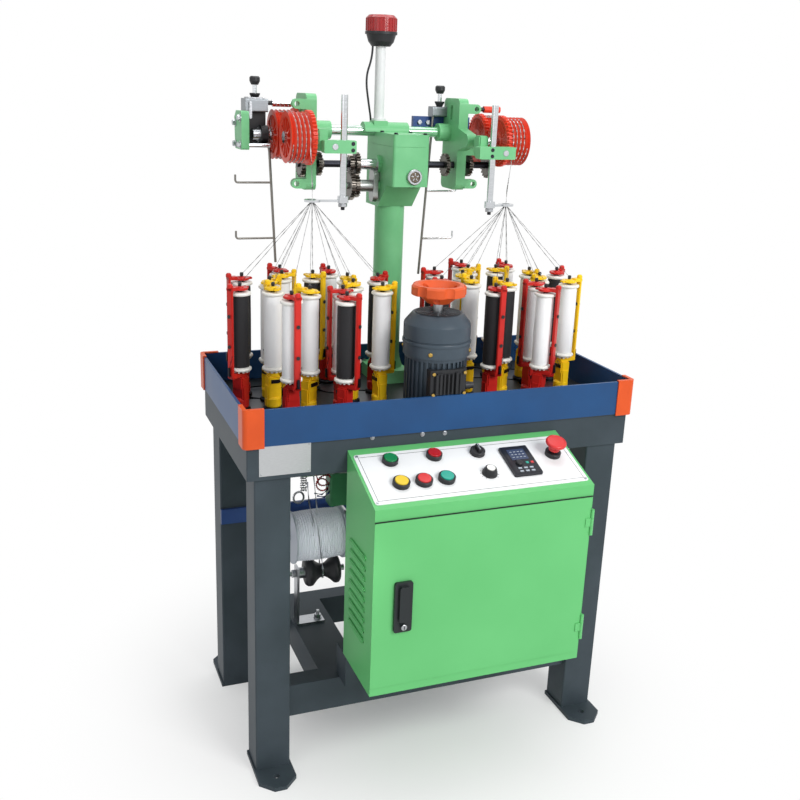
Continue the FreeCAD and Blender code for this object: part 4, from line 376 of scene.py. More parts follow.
# Filament yarn on the bobbins: black with hardly a sheen, white with a silky one.
black_yarn = windings("black_polyester_yarn", "#2a292b", "#1e1d20", pitch_mm=1.3, sheen=0.06)
white_yarn = windings("white_polyester_yarn", "#fdfdfd", "#f1f2f3", pitch_mm=1.3)

block((-11, -17, DECK_MM + 9), (11, 17, 880), 0, 3)
revolve([(0, 826.4), (16, 826.4), (18, 829), (18, 846), (14, 850), (0, 850)])
block((-13, -15, 868), (13, 15, SPINDLE_LOW_MM), 0, 3)
block((-13, -9, 898), (34.5, 9, 909), 0, 2)
block((28.5, -7.5, 899), (34.5, 7.5, TOP_MM), 0, 1.2)
block((28.0, -2.5, 912), (30.5, 2.5, 1093), 0, 0.8)
block((12, -9, 1096), (34.5, 9, TOP_MM), 0, 1.2)
revolve([(4, 1095.5), (17, 1095.5), (18, 1096.5), (18, 1100), (17, 1101), (9, 1101), (8, 1103), (4, 1103),
         (4, 1095.5)], 0, 36)
block((-24, -6, 1096), (-14, 6, 1101), 0, 1)
stud(6.5, TOP_MM - 1, TOP_MM + 8, seat=at(31.5, 0, 0), edge=(2.5, 3))
carrier_frame = drawn("carrier_frame")

STEEL, BLACK = 0, 1
stud(4.5, 778, 819, STEEL, 16)
stud(22, 818.4, 826.4, STEEL, 40, edge=(2, 2.4))
stud(5, SPINDLE_LOW_MM, 1097, STEEL, 16, edge=(2, 2))
for height in (972, 1040):
    revolve([(0, -8), (4.2, -8), (4.2, -6.5), (2.6, -6), (2.6, 0.5), (4.2, 1), (4.2, 2.5), (0, 2.5)],
            BLACK, 16, at(34.5, 0, height, "right"))
block((36, -3, 905), (40, 3, 925), STEEL, 0.8)
wire([(38, 0, 922), (38, 6, 940), (36, 8, 952)], 1.0, STEEL)
revolve([(0, TOP_MM), (3.5, TOP_MM), (4.5, 1108), (3.5, 1112), (0, 1112)], BLACK, 16)
block((-16, -12, 884), (-12.5, 10, 892), STEEL, 0.6)
wire([(-14, -12, 888), (-20, -14, 894), (-22, -8, 903)], 1.1, STEEL)
carrier_fittings = drawn("carrier_fittings", black_oxide, black_moulding)

NOTCHES = 12
revolve([(5.2, 913), (22, 913), (24.2, 914.2), (25, 916.5), (24.2, 919), (22, 920.5), (18, 921), (18, 1083),
         (22, 1083.5), (24.2, 1085), (25, 1087.5), (24.2, 1090), (22, 1091), (9, 1091), (9, 1088.5),
         (5.2, 1088.5)], sides=48)
for notch in range(NOTCHES):
    around = Matrix.Rotation(tau * notch / NOTCHES, 4, "Z")
    block((14.5, -2.2, 909.6), (20, 2.2, 914), 0, 0.5, around)
bobbin = drawn("bobbin")

revolve([(17.5, 921.4), (19.4, 922), (20.2, 926), (20.6, 1000), (20.2, 1078), (19.4, 1082), (17.5, 1082.6)],
        sides=48)
yarn_package = drawn("yarn_package")


def node_group(name, inputs):
    """An empty Geometry Nodes tree with named inputs, and what gives them."""
    group = bpy.data.node_groups.new(name, "GeometryNodeTree")
    for label, kind in inputs.items():
        group.interface.new_socket(label, in_out="INPUT", socket_type="NodeSocket" + kind)
    group.interface.new_socket("Result", in_out="OUTPUT", socket_type="NodeSocketGeometry")
    return group, add(group, "NodeGroupInput").outputs


def grow(name, group, values, mesh, body):
    """A piece that a Geometry Nodes tree grows from a mesh, made a plain mesh that rides on a CAD body."""
    made = bpy.data.objects.new(name, mesh)
    scene.collection.objects.link(made)
    modifier = made.modifiers.new("nodes", "NODES")
    modifier.node_group = group
    for item in group.interface.items_tree:
        if item.in_out == "INPUT" and item.name in values:
            modifier[item.identifier] = values[item.name]
    bpy.context.view_layer.update()
    grown = bpy.data.meshes.new_from_object(made.evaluated_get(bpy.context.evaluated_depsgraph_get()))
    made.modifiers.clear()
    made.data = grown
    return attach(made, body)


def carrier_tree():
    """Geometry Nodes: the gear as given, and two painted carriers at its ends."""
    parts = ("Frame", "Fittings", "Bobbin", "Package")
    finishes = ("Nylon", "First paint", "Second paint", "First yarn", "Second yarn", "Steel")
    group, given = node_group("carriers", {
        "Gear": "Geometry", **dict.fromkeys(parts, "Object"), "Centre": "Vector", "Turn": "Float",
        "Reach": "Float", **dict.fromkeys(finishes, "Material")})
    gear = add(group, "GeometryNodeSetMaterial", {0: given["Gear"], "Material": given["Steel"]})
    everything = add(group, "GeometryNodeJoinGeometry", {0: gear})
    reach = add(group, "ShaderNodeCombineXYZ", {"X": given["Reach"]})
    shared = {part: add(group, "GeometryNodeObjectInfo", {"Object": given[part]}).outputs["Geometry"]
              for part in parts}
    for order, half_turn in (("First", 0.0), ("Second", pi)):
        joined = add(group, "GeometryNodeJoinGeometry", {0: shared["Fittings"]})
        painting = (("Frame", order + " paint"), ("Bobbin", "Nylon"), ("Package", order + " yarn"))
        for part, finish in painting:
            painted = add(group, "GeometryNodeSetMaterial", {0: shared[part], "Material": given[finish]})
            group.links.new(painted.outputs[0], joined.inputs[0])
        outward = add(group, "GeometryNodeTransform", {0: joined, "Translation": reach})
        angle = add(group, "ShaderNodeMath", {"operation": "ADD", 0: given["Turn"], 1: half_turn})
        about = add(group, "ShaderNodeCombineXYZ", {"Z": angle})
        placed = add(group, "GeometryNodeTransform", {0: outward, "Rotation": about,
                                                      "Translation": given["Centre"]})
        group.links.new(placed.outputs[0], everything.inputs[0])
    realised = add(group, "GeometryNodeRealizeInstances", {0: everything})
    add(group, "NodeGroupOutput", {0: realised})
    return group


def below(node, height):
    """A loose copy of the faces of a CAD node that lie below a height."""
    draft.from_mesh(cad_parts[node].data)
    spare = [face for face in draft.faces if max(v.co.z for v in face.verts) > height]
    bmesh.ops.delete(draft, geom=spare, context="FACES")
    mesh = bpy.data.meshes.new(node + "_gear")
    draft.to_mesh(mesh)
    draft.clear()
    return mesh


def carrier_turn(horn):
    """Angle of a horn gear's carriers from the line out of the head's middle."""
    return pi / 2 - LEAD if horn % 2 else LEAD


carriers = carrier_tree()
for side, head_x in zip(("left", "right"), HEAD_X):
    for horn in range(HORNS):
        node = f"horn_gear_{side}_{horn + 1}"
        angle = tau * horn / HORNS
        paints = [red_paint, yellow_paint]
        if horn in RED_ON_SECOND:
            paints.reverse()
        yarns = [black_yarn if (horn, end) in BLACK_YARN[side] else white_yarn for end in (0, 1)]
        centre = (head_x + HORN_RING * cos(angle), HEAD_Y + HORN_RING * sin(angle), 0)
        pair = grow(f"carriers_{side}_{horn + 1}", carriers, {
            "Frame": carrier_frame, "Fittings": carrier_fittings, "Bobbin": bobbin, "Package": yarn_package,
            "Centre": centre, "Turn": angle + carrier_turn(horn), "Reach": HORN_REACH, "Nylon": nylon,
            "First paint": paints[0], "Second paint": paints[1], "First yarn": yarns[0],
            "Second yarn": yarns[1], "Steel": oiled_steel}, below(node, PLATE_TOP), node)
        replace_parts(pair, node)

# ---- Column and gearbox ----
# The column is a cast tube bolted to the deck; the gearbox on it is a sand casting in the same green
# enamel, with a bolted lid and an oil sight glass in a steel bezel.
SIGHT_SPOKES = 5
# Enamel over the sand casting's skin: a coarser peel and a duller shine than on sheet.
casting_enamel = enamel("casting_green_enamel", "#7cc58d", "#68b37b", 0.4, peel_mm=4.0, peel=0.16)
# Zinc plating on bolts and fittings gives a cool, even gleam.
bright_steel = machined("zinc_plated_steel", "#b9bcc0")
# Polished glass with amber oil behind it.
sight_glass = plastic("sight_glass", "#8b7a66", 0.08, clear=0.6)
dress(casting_enamel, "column", "gearbox_casing")


def piece(name, slot, *materials, body="machine", sharp=35):
    """Make what is drawn a piece that rides on a CAD body, in the materials given; the slot is not used."""
    made = drawn(name, *materials, sharp=sharp)
    scene.collection.objects.link(made)
    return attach(made, body)


sight_seat = at(-2, 35, 1334, "front")
revolve([(0, -2), (18, -2), (18, 3), (16.5, 5), (13, 5), (12, 3), (0, 3)], 0, 40, sight_seat)
revolve([(0, 2.6), (11.8, 2.6), (11.8, 3.8), (0, 4.6)], 1, 32, sight_seat)
for spoke in range(SIGHT_SPOKES):
    about = sight_seat @ Matrix.Rotation(tau * spoke / SIGHT_SPOKES, 4, "Z")
    block((-1.2, 3.5, 3.4), (1.2, 9.5, 5.2), 0, 0.4, about)
piece("oil_sight", "gear_steel", bright_steel, sight_glass)


def deliver(group, geometry, material):
    """End a Geometry Nodes tree: its copies made real and given their material."""
    realised = add(group, "GeometryNodeRealizeInstances", {0: geometry})
    painted = add(group, "GeometryNodeSetMaterial", {0: realised, "Material": material})
    add(group, "NodeGroupOutput", {0: painted})
    return group


def bolt_tree():
    """Geometry Nodes: a hexagon head on its washer over the middle of each seat face, along its normal."""
    group, given = node_group("bolts", {"Seats": "Geometry", "Head": "Float", "Material": "Material"})
    hexagon = add(group, "GeometryNodeMeshCylinder", {"Vertices": 6, "Radius": 1.0, "Depth": 0.65})
    raised = add(group, "GeometryNodeTransform", {0: hexagon, "Translation": (0, 0, 0.42)})
    washer = add(group, "GeometryNodeMeshCylinder", {"Vertices": 20, "Radius": 1.25, "Depth": 0.16})
    both = add(group, "GeometryNodeJoinGeometry", {0: raised})
    group.links.new(washer.outputs[0], both.inputs[0])
    held = add(group, "GeometryNodeCaptureAttribute", {"domain": "FACE", 0: given["Seats"]})
    held.capture_items.new("VECTOR", "Facing")
    group.links.new(add(group, "GeometryNodeInputNormal").outputs[0], held.inputs[1])
    points = add(group, "GeometryNodeMeshToPoints", {"mode": "FACES", "Mesh": held.outputs[0]})
    facing = add(group, "FunctionNodeAlignRotationToVector", {"axis": "Z", "Vector": held.outputs[1]})
    size = add(group, "ShaderNodeCombineXYZ", {0: given["Head"], 1: given["Head"], 2: given["Head"]})
    placed = add(group, "GeometryNodeInstanceOnPoints", {
        "Points": points, "Instance": both, "Rotation": facing, "Scale": size})
    return deliver(group, placed, given["Material"])


bolts = bolt_tree()
SEAT_R = 0.0001     # too small to matter: only the face's middle and direction count


def bolt_row(name, head, material, seats):
    """Bolts of a head radius at (place, outward direction) seats, each a tiny face that faces outward."""
    corners = []
    for place, outward in seats:
        facing = Vector(outward).to_track_quat("Z", "Y")
        corners += [Vector(place) + facing @ (Vector((c, s, 0)) * SEAT_R) for c, s in circle(3)]
    mesh = bpy.data.meshes.new(name)
    mesh.from_pydata(corners, [], [(i, i + 1, i + 2) for i in range(0, len(corners), 3)])
    grow(name, bolts, {"Head": head, "Material": material}, mesh, "machine")


UP = (0, 0, 1)
bolt_row("gearbox_lid_bolts", 0.0045, black_oxide,
         [((x, y, 1.4285), UP) for x in (-0.046, 0.026) for y in (0.048, 0.140, 0.217)])
bolt_row("column_foot_bolts", 0.0055, bright_steel,
         [((x, y, 0.8505), UP) for x in (-0.047, 0.027) for y in (0.113, 0.222)])

# ---- Cross bar, take-up plates and their wheels ----
# A chromed bar is clamped over the gearbox and carries a cast green plate at each end. The grooved
# take-up wheels are moulded orange nylon; guide blocks are green, their rods and rings chromed.


def paint(node, *areas):
    """Give the faces of a CAD node inside boxes, in millimetres, finishes of their own."""
    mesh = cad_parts[node].data
    for material, low, high in areas:
        mesh.materials.append(material)
        for face in mesh.polygons:
            if all(a <= c <= b for a, c, b in zip(low, face.center * 1000, high)):
                face.material_index = len(mesh.materials) - 1


# Chrome plate on a ground bar mirrors the room, with hardly a line in it.
chrome = machined("chrome_plated_bar", "#dcdfe2", 0.14, line_mm=2.0, deep=0.03)
# Dyed nylon, saturated and slightly waxy.
wheel_nylon = plastic("take_up_wheel_nylon", "#e2452c", 0.34)
# Flat bar sprayed a plain blue.
bracket_blue = enamel("bracket_blue_enamel", "#33528e", "#29457c")
# Drawn wire is brownish and dull.
wire_steel = machined("stand_wire", "#85827d", 0.4)
# Die castings left bare: zinc is darker, tumbled aluminium paler and soft.
cast_grey = machined("cast_zinc", "#8b9094", 0.4, line_mm=3.0)
cast_aluminium = machined("cast_aluminium", "#a3a6a4", 0.38, line_mm=3.0, deep=0.12)
WHEELS = [(side, row) for side in ("left", "right") for row in ("front", "rear")]
dress(casting_enamel, "take_up_frames", "cross_bar")
dress(wheel_nylon, *(f"take_up_wheel_{side}_{row}" for side, row in WHEELS))
dress(chrome, "yarn_guides", "worm_sleeve")
dress(black_moulding, "nip_units")
paint("cross_bar",
      (chrome, (-239, 165.5, 1416), (-82.5, 190.5, 1442)),
      (chrome, (30.5, 165.5, 1416), (164, 190.5, 1442)))
paint("yarn_guides",
      (wire_steel, (-420, 185, 1050), (-286, 203, 1412)),
      (wire_steel, (0, 185, 1050), (120, 203, 1466)),
      (casting_enamel, (-229.5, 2.5, 1386.5), (-154.5, 27.5, 1415.5)),
      (casting_enamel, (138.5, -12.5, 1378.5), (231.5, 12.5, 1407.5)))
paint("nip_units",
      (casting_enamel, (-379, 155, 1381), (-359.8, 233, 1468)),
      (cast_grey, (-362.5, 181, 1464.9), (-309.5, 232, 1494.1)),
      (bright_steel, (-344.5, 180, 1402), (-326.1, 208, 1430)),
      (chrome, (-359.7, 160, 1386), (-309.9, 172, 1398)),
      (bracket_blue, (57, 205.9, 1436), (210, 218.1, 1465.1)),
      (cast_grey, (100, 186, 1464.9), (139.5, 219, 1489.1)),
      (chrome, (-341, 201, 1506.1), (-329, 213, 1524)),
      (chrome, (117, 194, 1501.1), (129, 206, 1519)),
      (wheel_nylon, (239.9, 180, 1470), (286, 210, 1496)),
      (chrome, (-298.1, 180, 1470), (-240, 210, 1496)))
paint("take_up_shaft", (black_oxide, (-300, 121.5, 1342.5), (300, 146.5, 1367.5)))
paint("gearbox_casing", (cast_aluminium, (-130.5, 117, 1266), (-59.8, 151, 1362)))
paint("worm_sleeve", (gear_steel, (-140, 90, 1290), (-104, 180, 1420)))

for x, y, z, radius, finish in (
    (-204, 3, 1401, 7, 1), (-163, 3, 1408, 4.4, 0), (-163, 3, 1394, 4.4, 0),
    (206, -12, 1393, 7, 1), (171, -12, 1400, 4.4, 0), (171, -12, 1386, 4.4, 0),
):
    stud(radius, -0.5, 1.2, finish, 24, at(x, y, z, "front"), edge=(0.8, 0.6))
for x, y, z in ((-181, 15, 1270), (177, 0, 1258)):
    revolve([(0, 0), (9.5, 0), (10.5, 1), (10.5, 7), (9.5, 8), (0, 8)], 1, 6, at(x, y, z))
    revolve([(0, -7), (4, -7), (4.5, -6), (4.5, 0), (0, 0)], 0, 16, at(x, y, z))
piece("guide_screws", "chrome", black_oxide, bright_steel)

block((-237, 26, 1390), (-213, 56, 1437), 0, 3)
block((147, 11, 1381), (171, 42, 1430), 0, 3)
piece("guide_slide_blocks", "casting_green", casting_enamel)

for y, z in ((166, 1452), (218, 1440), (168, 1393), (216, 1393)):
    stud(9, -0.5, 1.5, 0, 28, at(-378, y, z, "left"))
    stud(6.5, 1.4, 8, 0, 6, at(-378, y, z, "left"), edge=(1, 1))
for x in (74, 96):
    stud(6, -0.5, 5, 0, 6, at(x, 206, 1451, "front"), edge=(1, 1))
stud(11, 0, 3, 1, 28, at(184, 206.2, 1451, "front"), edge=(3, 1))
block((-355, 177.5, 1450), (-348, 182.2, 1488), 0, 1.5)
block((-357, 184, 1493.8), (-315, 229, 1497), 1, 1.5)
piece("nip_bolts_and_lever", "chrome", bright_steel, black_moulding)


def repeat_tree():
    """Geometry Nodes: a shape repeated, each copy stepped and turned from the last, then set in place."""
    group, given = node_group("repeats", {
        "Shape": "Geometry", "Count": "Int", "Step": "Vector", "Turn": "Float", "First turn": "Float",
        "Place": "Vector", "Lie": "Vector", "Material": "Material"})
    index = add(group, "GeometryNodeInputIndex")
    spot = add(group, "ShaderNodeVectorMath", {"operation": "SCALE", 0: given["Step"], "Scale": index})
    points = add(group, "GeometryNodePoints", {"Count": given["Count"], "Position": spot})
    angle = add(group, "ShaderNodeMath", {"operation": "MULTIPLY_ADD", 0: index, 1: given["Turn"],
                                          2: given["First turn"]})
    about = add(group, "ShaderNodeCombineXYZ", {"Z": angle})
    copies = add(group, "GeometryNodeInstanceOnPoints", {
        "Points": points, "Instance": given["Shape"], "Rotation": about})
    placed = add(group, "GeometryNodeTransform", {0: copies, "Translation": given["Place"],
                                                  "Rotation": given["Lie"]})
    return deliver(group, placed, given["Material"])


repeats = repeat_tree()


def repeat(name, material, count, step=(0, 0, 0), turn=0.0, first=0.0, seat=Matrix(), body="machine"):
    """Make a piece of copies of what is drawn, along a step or round the axis of its seat."""
    place, lie, _ = seat.decompose()
    grow(name, repeats, {
        "Count": count, "Step": [s / 1000 for s in step], "Turn": turn, "First turn": first,
        "Place": [p / 1000 for p in place], "Lie": list(lie.to_euler()), "Material": material,
    }, drawn(name + "_shape").data, body)


# The dished outer face of each take-up wheel is stiffened by moulded webs, its toothed inner face by finer
# ribs between two rings.
WEBS = 12
RIBS = 30
WHEEL_Y_MM = {"front": 74.05, "rear": 194.05}
WHEEL_Z_MM = 1415.9
WHEEL_FACES = {"left": (-298, -240, "right"), "right": (284, 226, "left")}
for side, row in WHEELS:
    wheel = f"take_up_wheel_{side}_{row}"
    outer_x, inner_x, way = WHEEL_FACES[side]
    outer_seat = at(outer_x, WHEEL_Y_MM[row], WHEEL_Z_MM, way)
    inner_seat = at(inner_x, WHEEL_Y_MM[row], WHEEL_Z_MM, way)
    block((15, -1.6, 0), (42, 1.6, 9), 0, 0)
    repeat(f"wheel_webs_{side}_{row}", wheel_nylon, WEBS, turn=tau / WEBS,
           seat=outer_seat, body=wheel)
    block((19, -1.1, -0.3), (50, 1.1, 1.4), 0, 0)
    repeat(f"wheel_ribs_{side}_{row}", wheel_nylon, RIBS, turn=tau / RIBS,
           seat=inner_seat, body=wheel)
    for bore, radius in ((14, 20.5), (48.5, 52)):
        stud(radius, -0.3, 1.8, 0, 48, inner_seat, bore=bore)
    piece(f"wheel_rings_{side}_{row}", "wheel_orange", wheel_nylon, body=wheel)


def spur(teeth, module, thick, seat):
    """Draw a small spur gear tooth by tooth, with a hub on one side."""
    outer, inner = module * (teeth / 2 + 0.9), module * (teeth / 2 - 1.15)
    rim = []
    for tooth in range(teeth):
        for share, radius in ((0.0, inner), (0.22, outer), (0.42, outer), (0.64, inner)):
            angle = tau * (tooth + share) / teeth
            rim.append((radius * cos(angle), radius * sin(angle)))
    low, high = [[draft.verts.new(seat @ Vector((x, y, z))) for x, y in rim] for z in (0, thick)]
    for ring in (low[::-1], high):
        draft.faces.new(ring)
    for i in range(len(rim)):
        j = (i + 1) % len(rim)
        draft.faces.new((low[i], low[j], high[j], high[i]))
    stud(module * teeth / 4, thick - 0.5, thick + 6, 0, 24, seat)


for x in (-208, 112, 173):
    spur(20, 2.5, 9, at(x, 134, 1355, "right"))
piece("through_shaft_gears", "black_steel", gear_steel, body="take_up_shaft")

# ---- Yarns and braids ----
# From the top of every carrier a polyester yarn runs up to its head's ring, where the sixteen meet and
# leave as one braid that is wound round both take-up wheels, a groove at a time.
RING_Z_MM = {"left": 1279, "right": 1267}
YARN_R_MM = 0.7
BRAID_R_MM = 1.4
MEET_R_MM = 4.5
WRAP_R_MM = 52.6
FIRST_GROOVE = {"left": (-254.8, -9.6), "right": (240.8, 9.6)}      # its X, and the step to the next
LOOPS = 4
LOOP_STEPS = 24
YARN_SPANS = 8
TICKS_PER_METRE = 420.0     # a braid of 2.8 mm shows a tick every 2.4 mm
BLACK_ABOVE = 0.8           # a tick with a random value above this is black


def braided(name):
    """Black and white yarns plaited: small ticks of both, with the plait's relief."""
    material, tree, coords = blank(name)
    ticks = add(tree, "ShaderNodeTexVoronoi", {"Scale": TICKS_PER_METRE, "Vector": coords}).outputs
    split = add(tree, "ShaderNodeMath", {"operation": "GREATER_THAN", 0: ticks["Color"], 1: BLACK_ABOVE})
    return complete(material, tree, srgb("#f7f7f7"), srgb("#4a4a4e"), split, ticks["Distance"],
                    strength=0.6, depth_mm=0.4, values={"Roughness": 0.6, "Sheen Weight": 0.3})


braid_cord = braided("black_and_white_braid")
# Single running yarns look paler and greyer than on the bobbin, because the light shines through them.
thin_black = windings("black_running_yarn", "#3d3d42", "#2a2a2e")
thin_white = windings("white_running_yarn", "#d4d6d8", "#bfc2c5")


def belt_route(groove_x, step):
    """Points of a cord wound round both wheels, one groove further on with every turn."""
    points = []
    for loop in range(LOOPS):
        for part in range(LOOP_STEPS):
            share = part / LOOP_STEPS
            angle = pi * (1 - 2 * share)
            centre = WHEEL_Y_MM["front" if share < 0.25 or share >= 0.75 else "rear"]
            points.append((groove_x + step * (loop + share), centre + WRAP_R_MM * cos(angle),
                           WHEEL_Z_MM + WRAP_R_MM * sin(angle)))
    return points


for side, head_x in zip(("left", "right"), HEAD_X):
    middle = Vector((head_x * 1000, HEAD_Y * 1000, RING_Z_MM[side]))
    for horn in range(HORNS):
        angle = tau * horn / HORNS
        for end in (0, 1):
            turn = angle + carrier_turn(horn) + pi * end
            start = Vector((head_x + HORN_RING * cos(angle) + HORN_REACH * cos(turn),
                            HEAD_Y + HORN_RING * sin(angle) + HORN_REACH * sin(turn), 0)) * 1000
            start.z = TOP_MM + 4
            slot = atan2(start.y - middle.y, start.x - middle.x)
            meet = middle + Vector((cos(slot), sin(slot), 0)) * MEET_R_MM
            wire([start.lerp(meet, i / YARN_SPANS) for i in range(YARN_SPANS + 1)], YARN_R_MM, 0, 6)
            dark = (horn, end) in BLACK_YARN[side]
            yarn = drawn(f"yarn_{side}_{horn + 1}_{end + 1}", thin_black if dark else thin_white)
            scene.collection.objects.link(yarn)
            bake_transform(yarn)
    groove_x, step = FIRST_GROOVE[side]
    rise = [tuple(middle), (middle.x, middle.y - 0.4, middle.z + 40),
            (groove_x, WHEEL_Y_MM["front"] - WRAP_R_MM, WHEEL_Z_MM - 22)]
    wire(rise + belt_route(groove_x, step), BRAID_R_MM, 0, 10)
    braid = piece(f"braid_{side}", "cord_white", braid_cord)
    if side == "left":
        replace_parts(braid, "yarns")

# ---- Motor and hand wheel ----
# A small foot-up induction motor: die-cast finned frame and steel cowl in dark grey enamel, a black
# moulded terminal box with brass screws, and a dished orange hand wheel on the free shaft end.
MOTOR_XY = (-10, -155)
COWL_TOP_MM = 1060
GRILLE_RINGS = 6
GRILLE_PITCH = 6.2
GRILLE_SPOKES = 16
COWL_SCREWS = 4
TERMINAL_RIBS = 7
TERMINAL_FRONT = -235.8
# Motor enamel is thin and semi-gloss, so the castings' edges catch the light.
motor_enamel = enamel("motor_grey_enamel", "#434f59", "#39444e", 0.36)
# Moulded thermoset, a little dull from many hands.
hand_orange = plastic("hand_wheel_orange", "#dc5a28", 0.38)
# Turned brass, warm and bright.
brass = machined("brass_screw", "#c9a75c", 0.3)
dress(motor_enamel, "motor_frame")
dress(black_moulding, "terminal_box")
dress(hand_orange, "motor_rotor")
paint("motor_rotor",
      (bright_steel, (-25, -170, 740), (5, -140, 1079.9)),
      (bright_steel, (-24, -169, 1100), (4, -141, 1125)))

motor_axis = at(*MOTOR_XY, 0)
revolve([(12.5, COWL_TOP_MM - 1), (55.5, COWL_TOP_MM - 1), (57.5, COWL_TOP_MM - 2.2), (72.6, 1039.5),
         (74.6, 1036), (75, 1032), (75, 1004), (73.6, 1002.6), (73.6, 1000), (75, 998.6), (75, 967),
         (71, 966), (71, 972), (12.5, 972), (12.5, COWL_TOP_MM - 1)], 0, 72, motor_axis)
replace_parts(piece("pressed_fan_cowl", "motor_grey", motor_enamel, sharp=22), "fan_cowl")

for ring in range(GRILLE_RINGS):
    inner = 17 + ring * GRILLE_PITCH
    stud(inner + 3.2, COWL_TOP_MM - 0.4, COWL_TOP_MM + 0.5, 0, 48, motor_axis, bore=inner)
revolve([(70, 992), (76.2, 992), (77, 994), (77, 998), (76.2, 1000), (70, 1000)], 1, 64, motor_axis)
piece("cowl_grille_rings", "motor_grey", black_moulding, motor_enamel)
block((17, -1.1, COWL_TOP_MM - 0.2), (52, 1.1, COWL_TOP_MM + 0.9), 0, 0.3)
repeat("cowl_grille_spokes", motor_enamel, GRILLE_SPOKES, turn=tau / GRILLE_SPOKES,
       seat=motor_axis)
revolve([(0, 0), (5, 0), (5, 1.5), (3.5, 3.4), (0, 3.8)], 0, 20, at(74.6, 0, 978, "right"))
repeat("cowl_screws", brass, COWL_SCREWS, turn=tau / COWL_SCREWS, first=0.32 * pi,
       seat=motor_axis)

block((-43, -239.6, 892), (-39, -235.6, 938), 0, 0.8)
repeat("terminal_box_ribs", black_moulding, TERMINAL_RIBS, step=(9.5, 0, 0))
for x in (-47, 27):
    for z in (939, 892):
        revolve([(0, 0), (4, 0), (4, 1.6), (3, 2.6), (0, 2.8)], 1, 20, at(x, TERMINAL_FRONT, z, "front"))
revolve([(0, 0), (9, 0), (9, 12), (7.5, 13), (7.5, 20), (0, 20)], 0, 12, at(33, -222, 905, "right"))
piece("terminal_box_screws_and_gland", "black_plastic", black_moulding, brass)

# ---- Beacon ----
# A red polycarbonate lens with moulded ribs over a lamp, on a black base and a white painted pole. A thin
# lead hangs in a loose bow beside the pole and enters the gearbox lid behind the clamp.
POLE_XY = (-42, 178)
LENS_R_MM = 36
LENS_RIBS = 28
CABLE_R = 0.0025
# Thin white gloss on tube, slightly warm where it is thin.
pole_white = enamel("pole_white_enamel", "#eceded", "#dddfe0", 0.3)
# Clear dyed polycarbonate lets some light in, so it glows at its edges.
lens_red = plastic("red_polycarbonate", "#c23234", 0.12, clear=0.35)
dress(pole_white, "beacon_pole")
dress(lens_red, "beacon_lens")
paint("beacon_pole", (black_moulding, (-79, 141, 1619.9), (-5, 215, 1651)))

block((LENS_R_MM - 0.6, -1.3, 1653), (LENS_R_MM + 0.9, 1.3, 1681), 0, 0.5)
repeat("beacon_lens_ribs", lens_red, LENS_RIBS, turn=tau / LENS_RIBS,
       seat=at(*POLE_XY, 0))
stud(LENS_R_MM + 1.6, 1646, 1652, 0, 64, at(*POLE_XY, 0), bore=LENS_R_MM - 1)
piece("beacon_ring", "black_plastic", black_moulding)

stops = [(-0.062, 0.178, 1.620), (-0.062, 0.178, 1.595), (-0.078, 0.178, 1.550), (-0.068, 0.178, 1.488),
         (-0.050, 0.210, 1.453), (-0.050, 0.210, 1.428)]
route = bpy.data.curves.new("beacon_lead", "CURVE")
route.dimensions = "3D"
line = route.splines.new("NURBS")
line.points.add(len(stops) - 1)
for point, stop in zip(line.points, stops):
    point.co = (*stop, 1)
line.order_u = 3
line.use_endpoint_u = True
line.resolution_u = 12
route.bevel_depth = CABLE_R
route.bevel_resolution = 3
route.use_fill_caps = True
route.materials.append(black_moulding)
lead = bpy.data.objects.new("beacon_lead", route)
scene.collection.objects.link(lead)
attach(lead, "machine")
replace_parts(lead, "beacon_cable")

# ---- Control box ----
# Folded sheet in green enamel with a white enamelled control plate on its slope; the door hangs on two
# lift-off hinges and closes with a black swing-handle lock. A rubber strip seals the top of the door.
# Bright green enamel on flat sheet, with patches as wide as the spray gun's passes.
box_enamel = enamel("box_green_enamel", "#68c176", "#62bb70", 0.36, mottle_mm=220.0)
# Baked white enamel, even and hard.
panel_enamel = enamel("panel_white_enamel", "#f2f3f3", "#e9ebeb", 0.3)
# Powder coat on a zinc casting, black with a soft shine.
lock_black = plastic("lock_black_zinc", "#22282a", 0.3)
dress(box_enamel, "control_box", "box_door")
dress(panel_enamel, "panel_plate")
paint("box_door", (lock_black, (-194.5, -433, 436), (-153.5, -418.4, 554)))

stud(6.5, 0, 2.2, 0, 24, at(-174, -432.4, 452, "front"), edge=(1, 0.7))
block((-174.8, -435.2, 448), (-173.2, -434.4, 456), 1, 0)
piece("lock_cylinder", "black_plastic", bright_steel, black_moulding, body="box_door")
block((-241, -418.6, 690.1), (268, -414.9, 692.3))
piece("door_seal", "black_plastic", black_moulding)
LOUVRES = 9
LOUVRE_PITCH = 24.25
block((-244.2, -368, 392.5), (-239.8, -269, 400), 0, 3.4)
repeat("louvre_hoods", box_enamel, LOUVRES, step=(0, 0, LOUVRE_PITCH))

# ---- Controls on the sloped plate ----
# Moulded push buttons, lamps, knobs and a mushroom stop, each in a black ring screwed on from the front; a
# speed display under glass; a printed hairline and dial ticks. Places are across and up the slope.
SLOPE = radians(19.4)
on_slope = Matrix.Translation((0, -415, 718)) @ Matrix.Rotation(SLOPE, 4, "X")
PLACES = {"yellow_button": (-161.0, 67.6), "red_button": (-110.0, 66.8), "teal_button": (-57.7, 67.2),
          "selector_knob": (44.9, 140.4), "speed_knob": (44.9, 70.0), "estop_button": (218.6, 109.4),
          "green_lamp": (-160.6, 142.0), "red_lamp": (-57.7, 144.0), "display": (131.0, 96.0)}
# Rises and radii in millimetres; the rings stand on the plate from PLATE_MM.
PLATE_MM = 1.4
RING_TOP = 12.0
RING_BORE = 15.2
COLLAR_BORE = 15.1
SKIRT_BORE = 11.4
DIAL_TICKS = 11
DIAL_STEP = radians(-27)
DIAL_FIRST = radians(225)
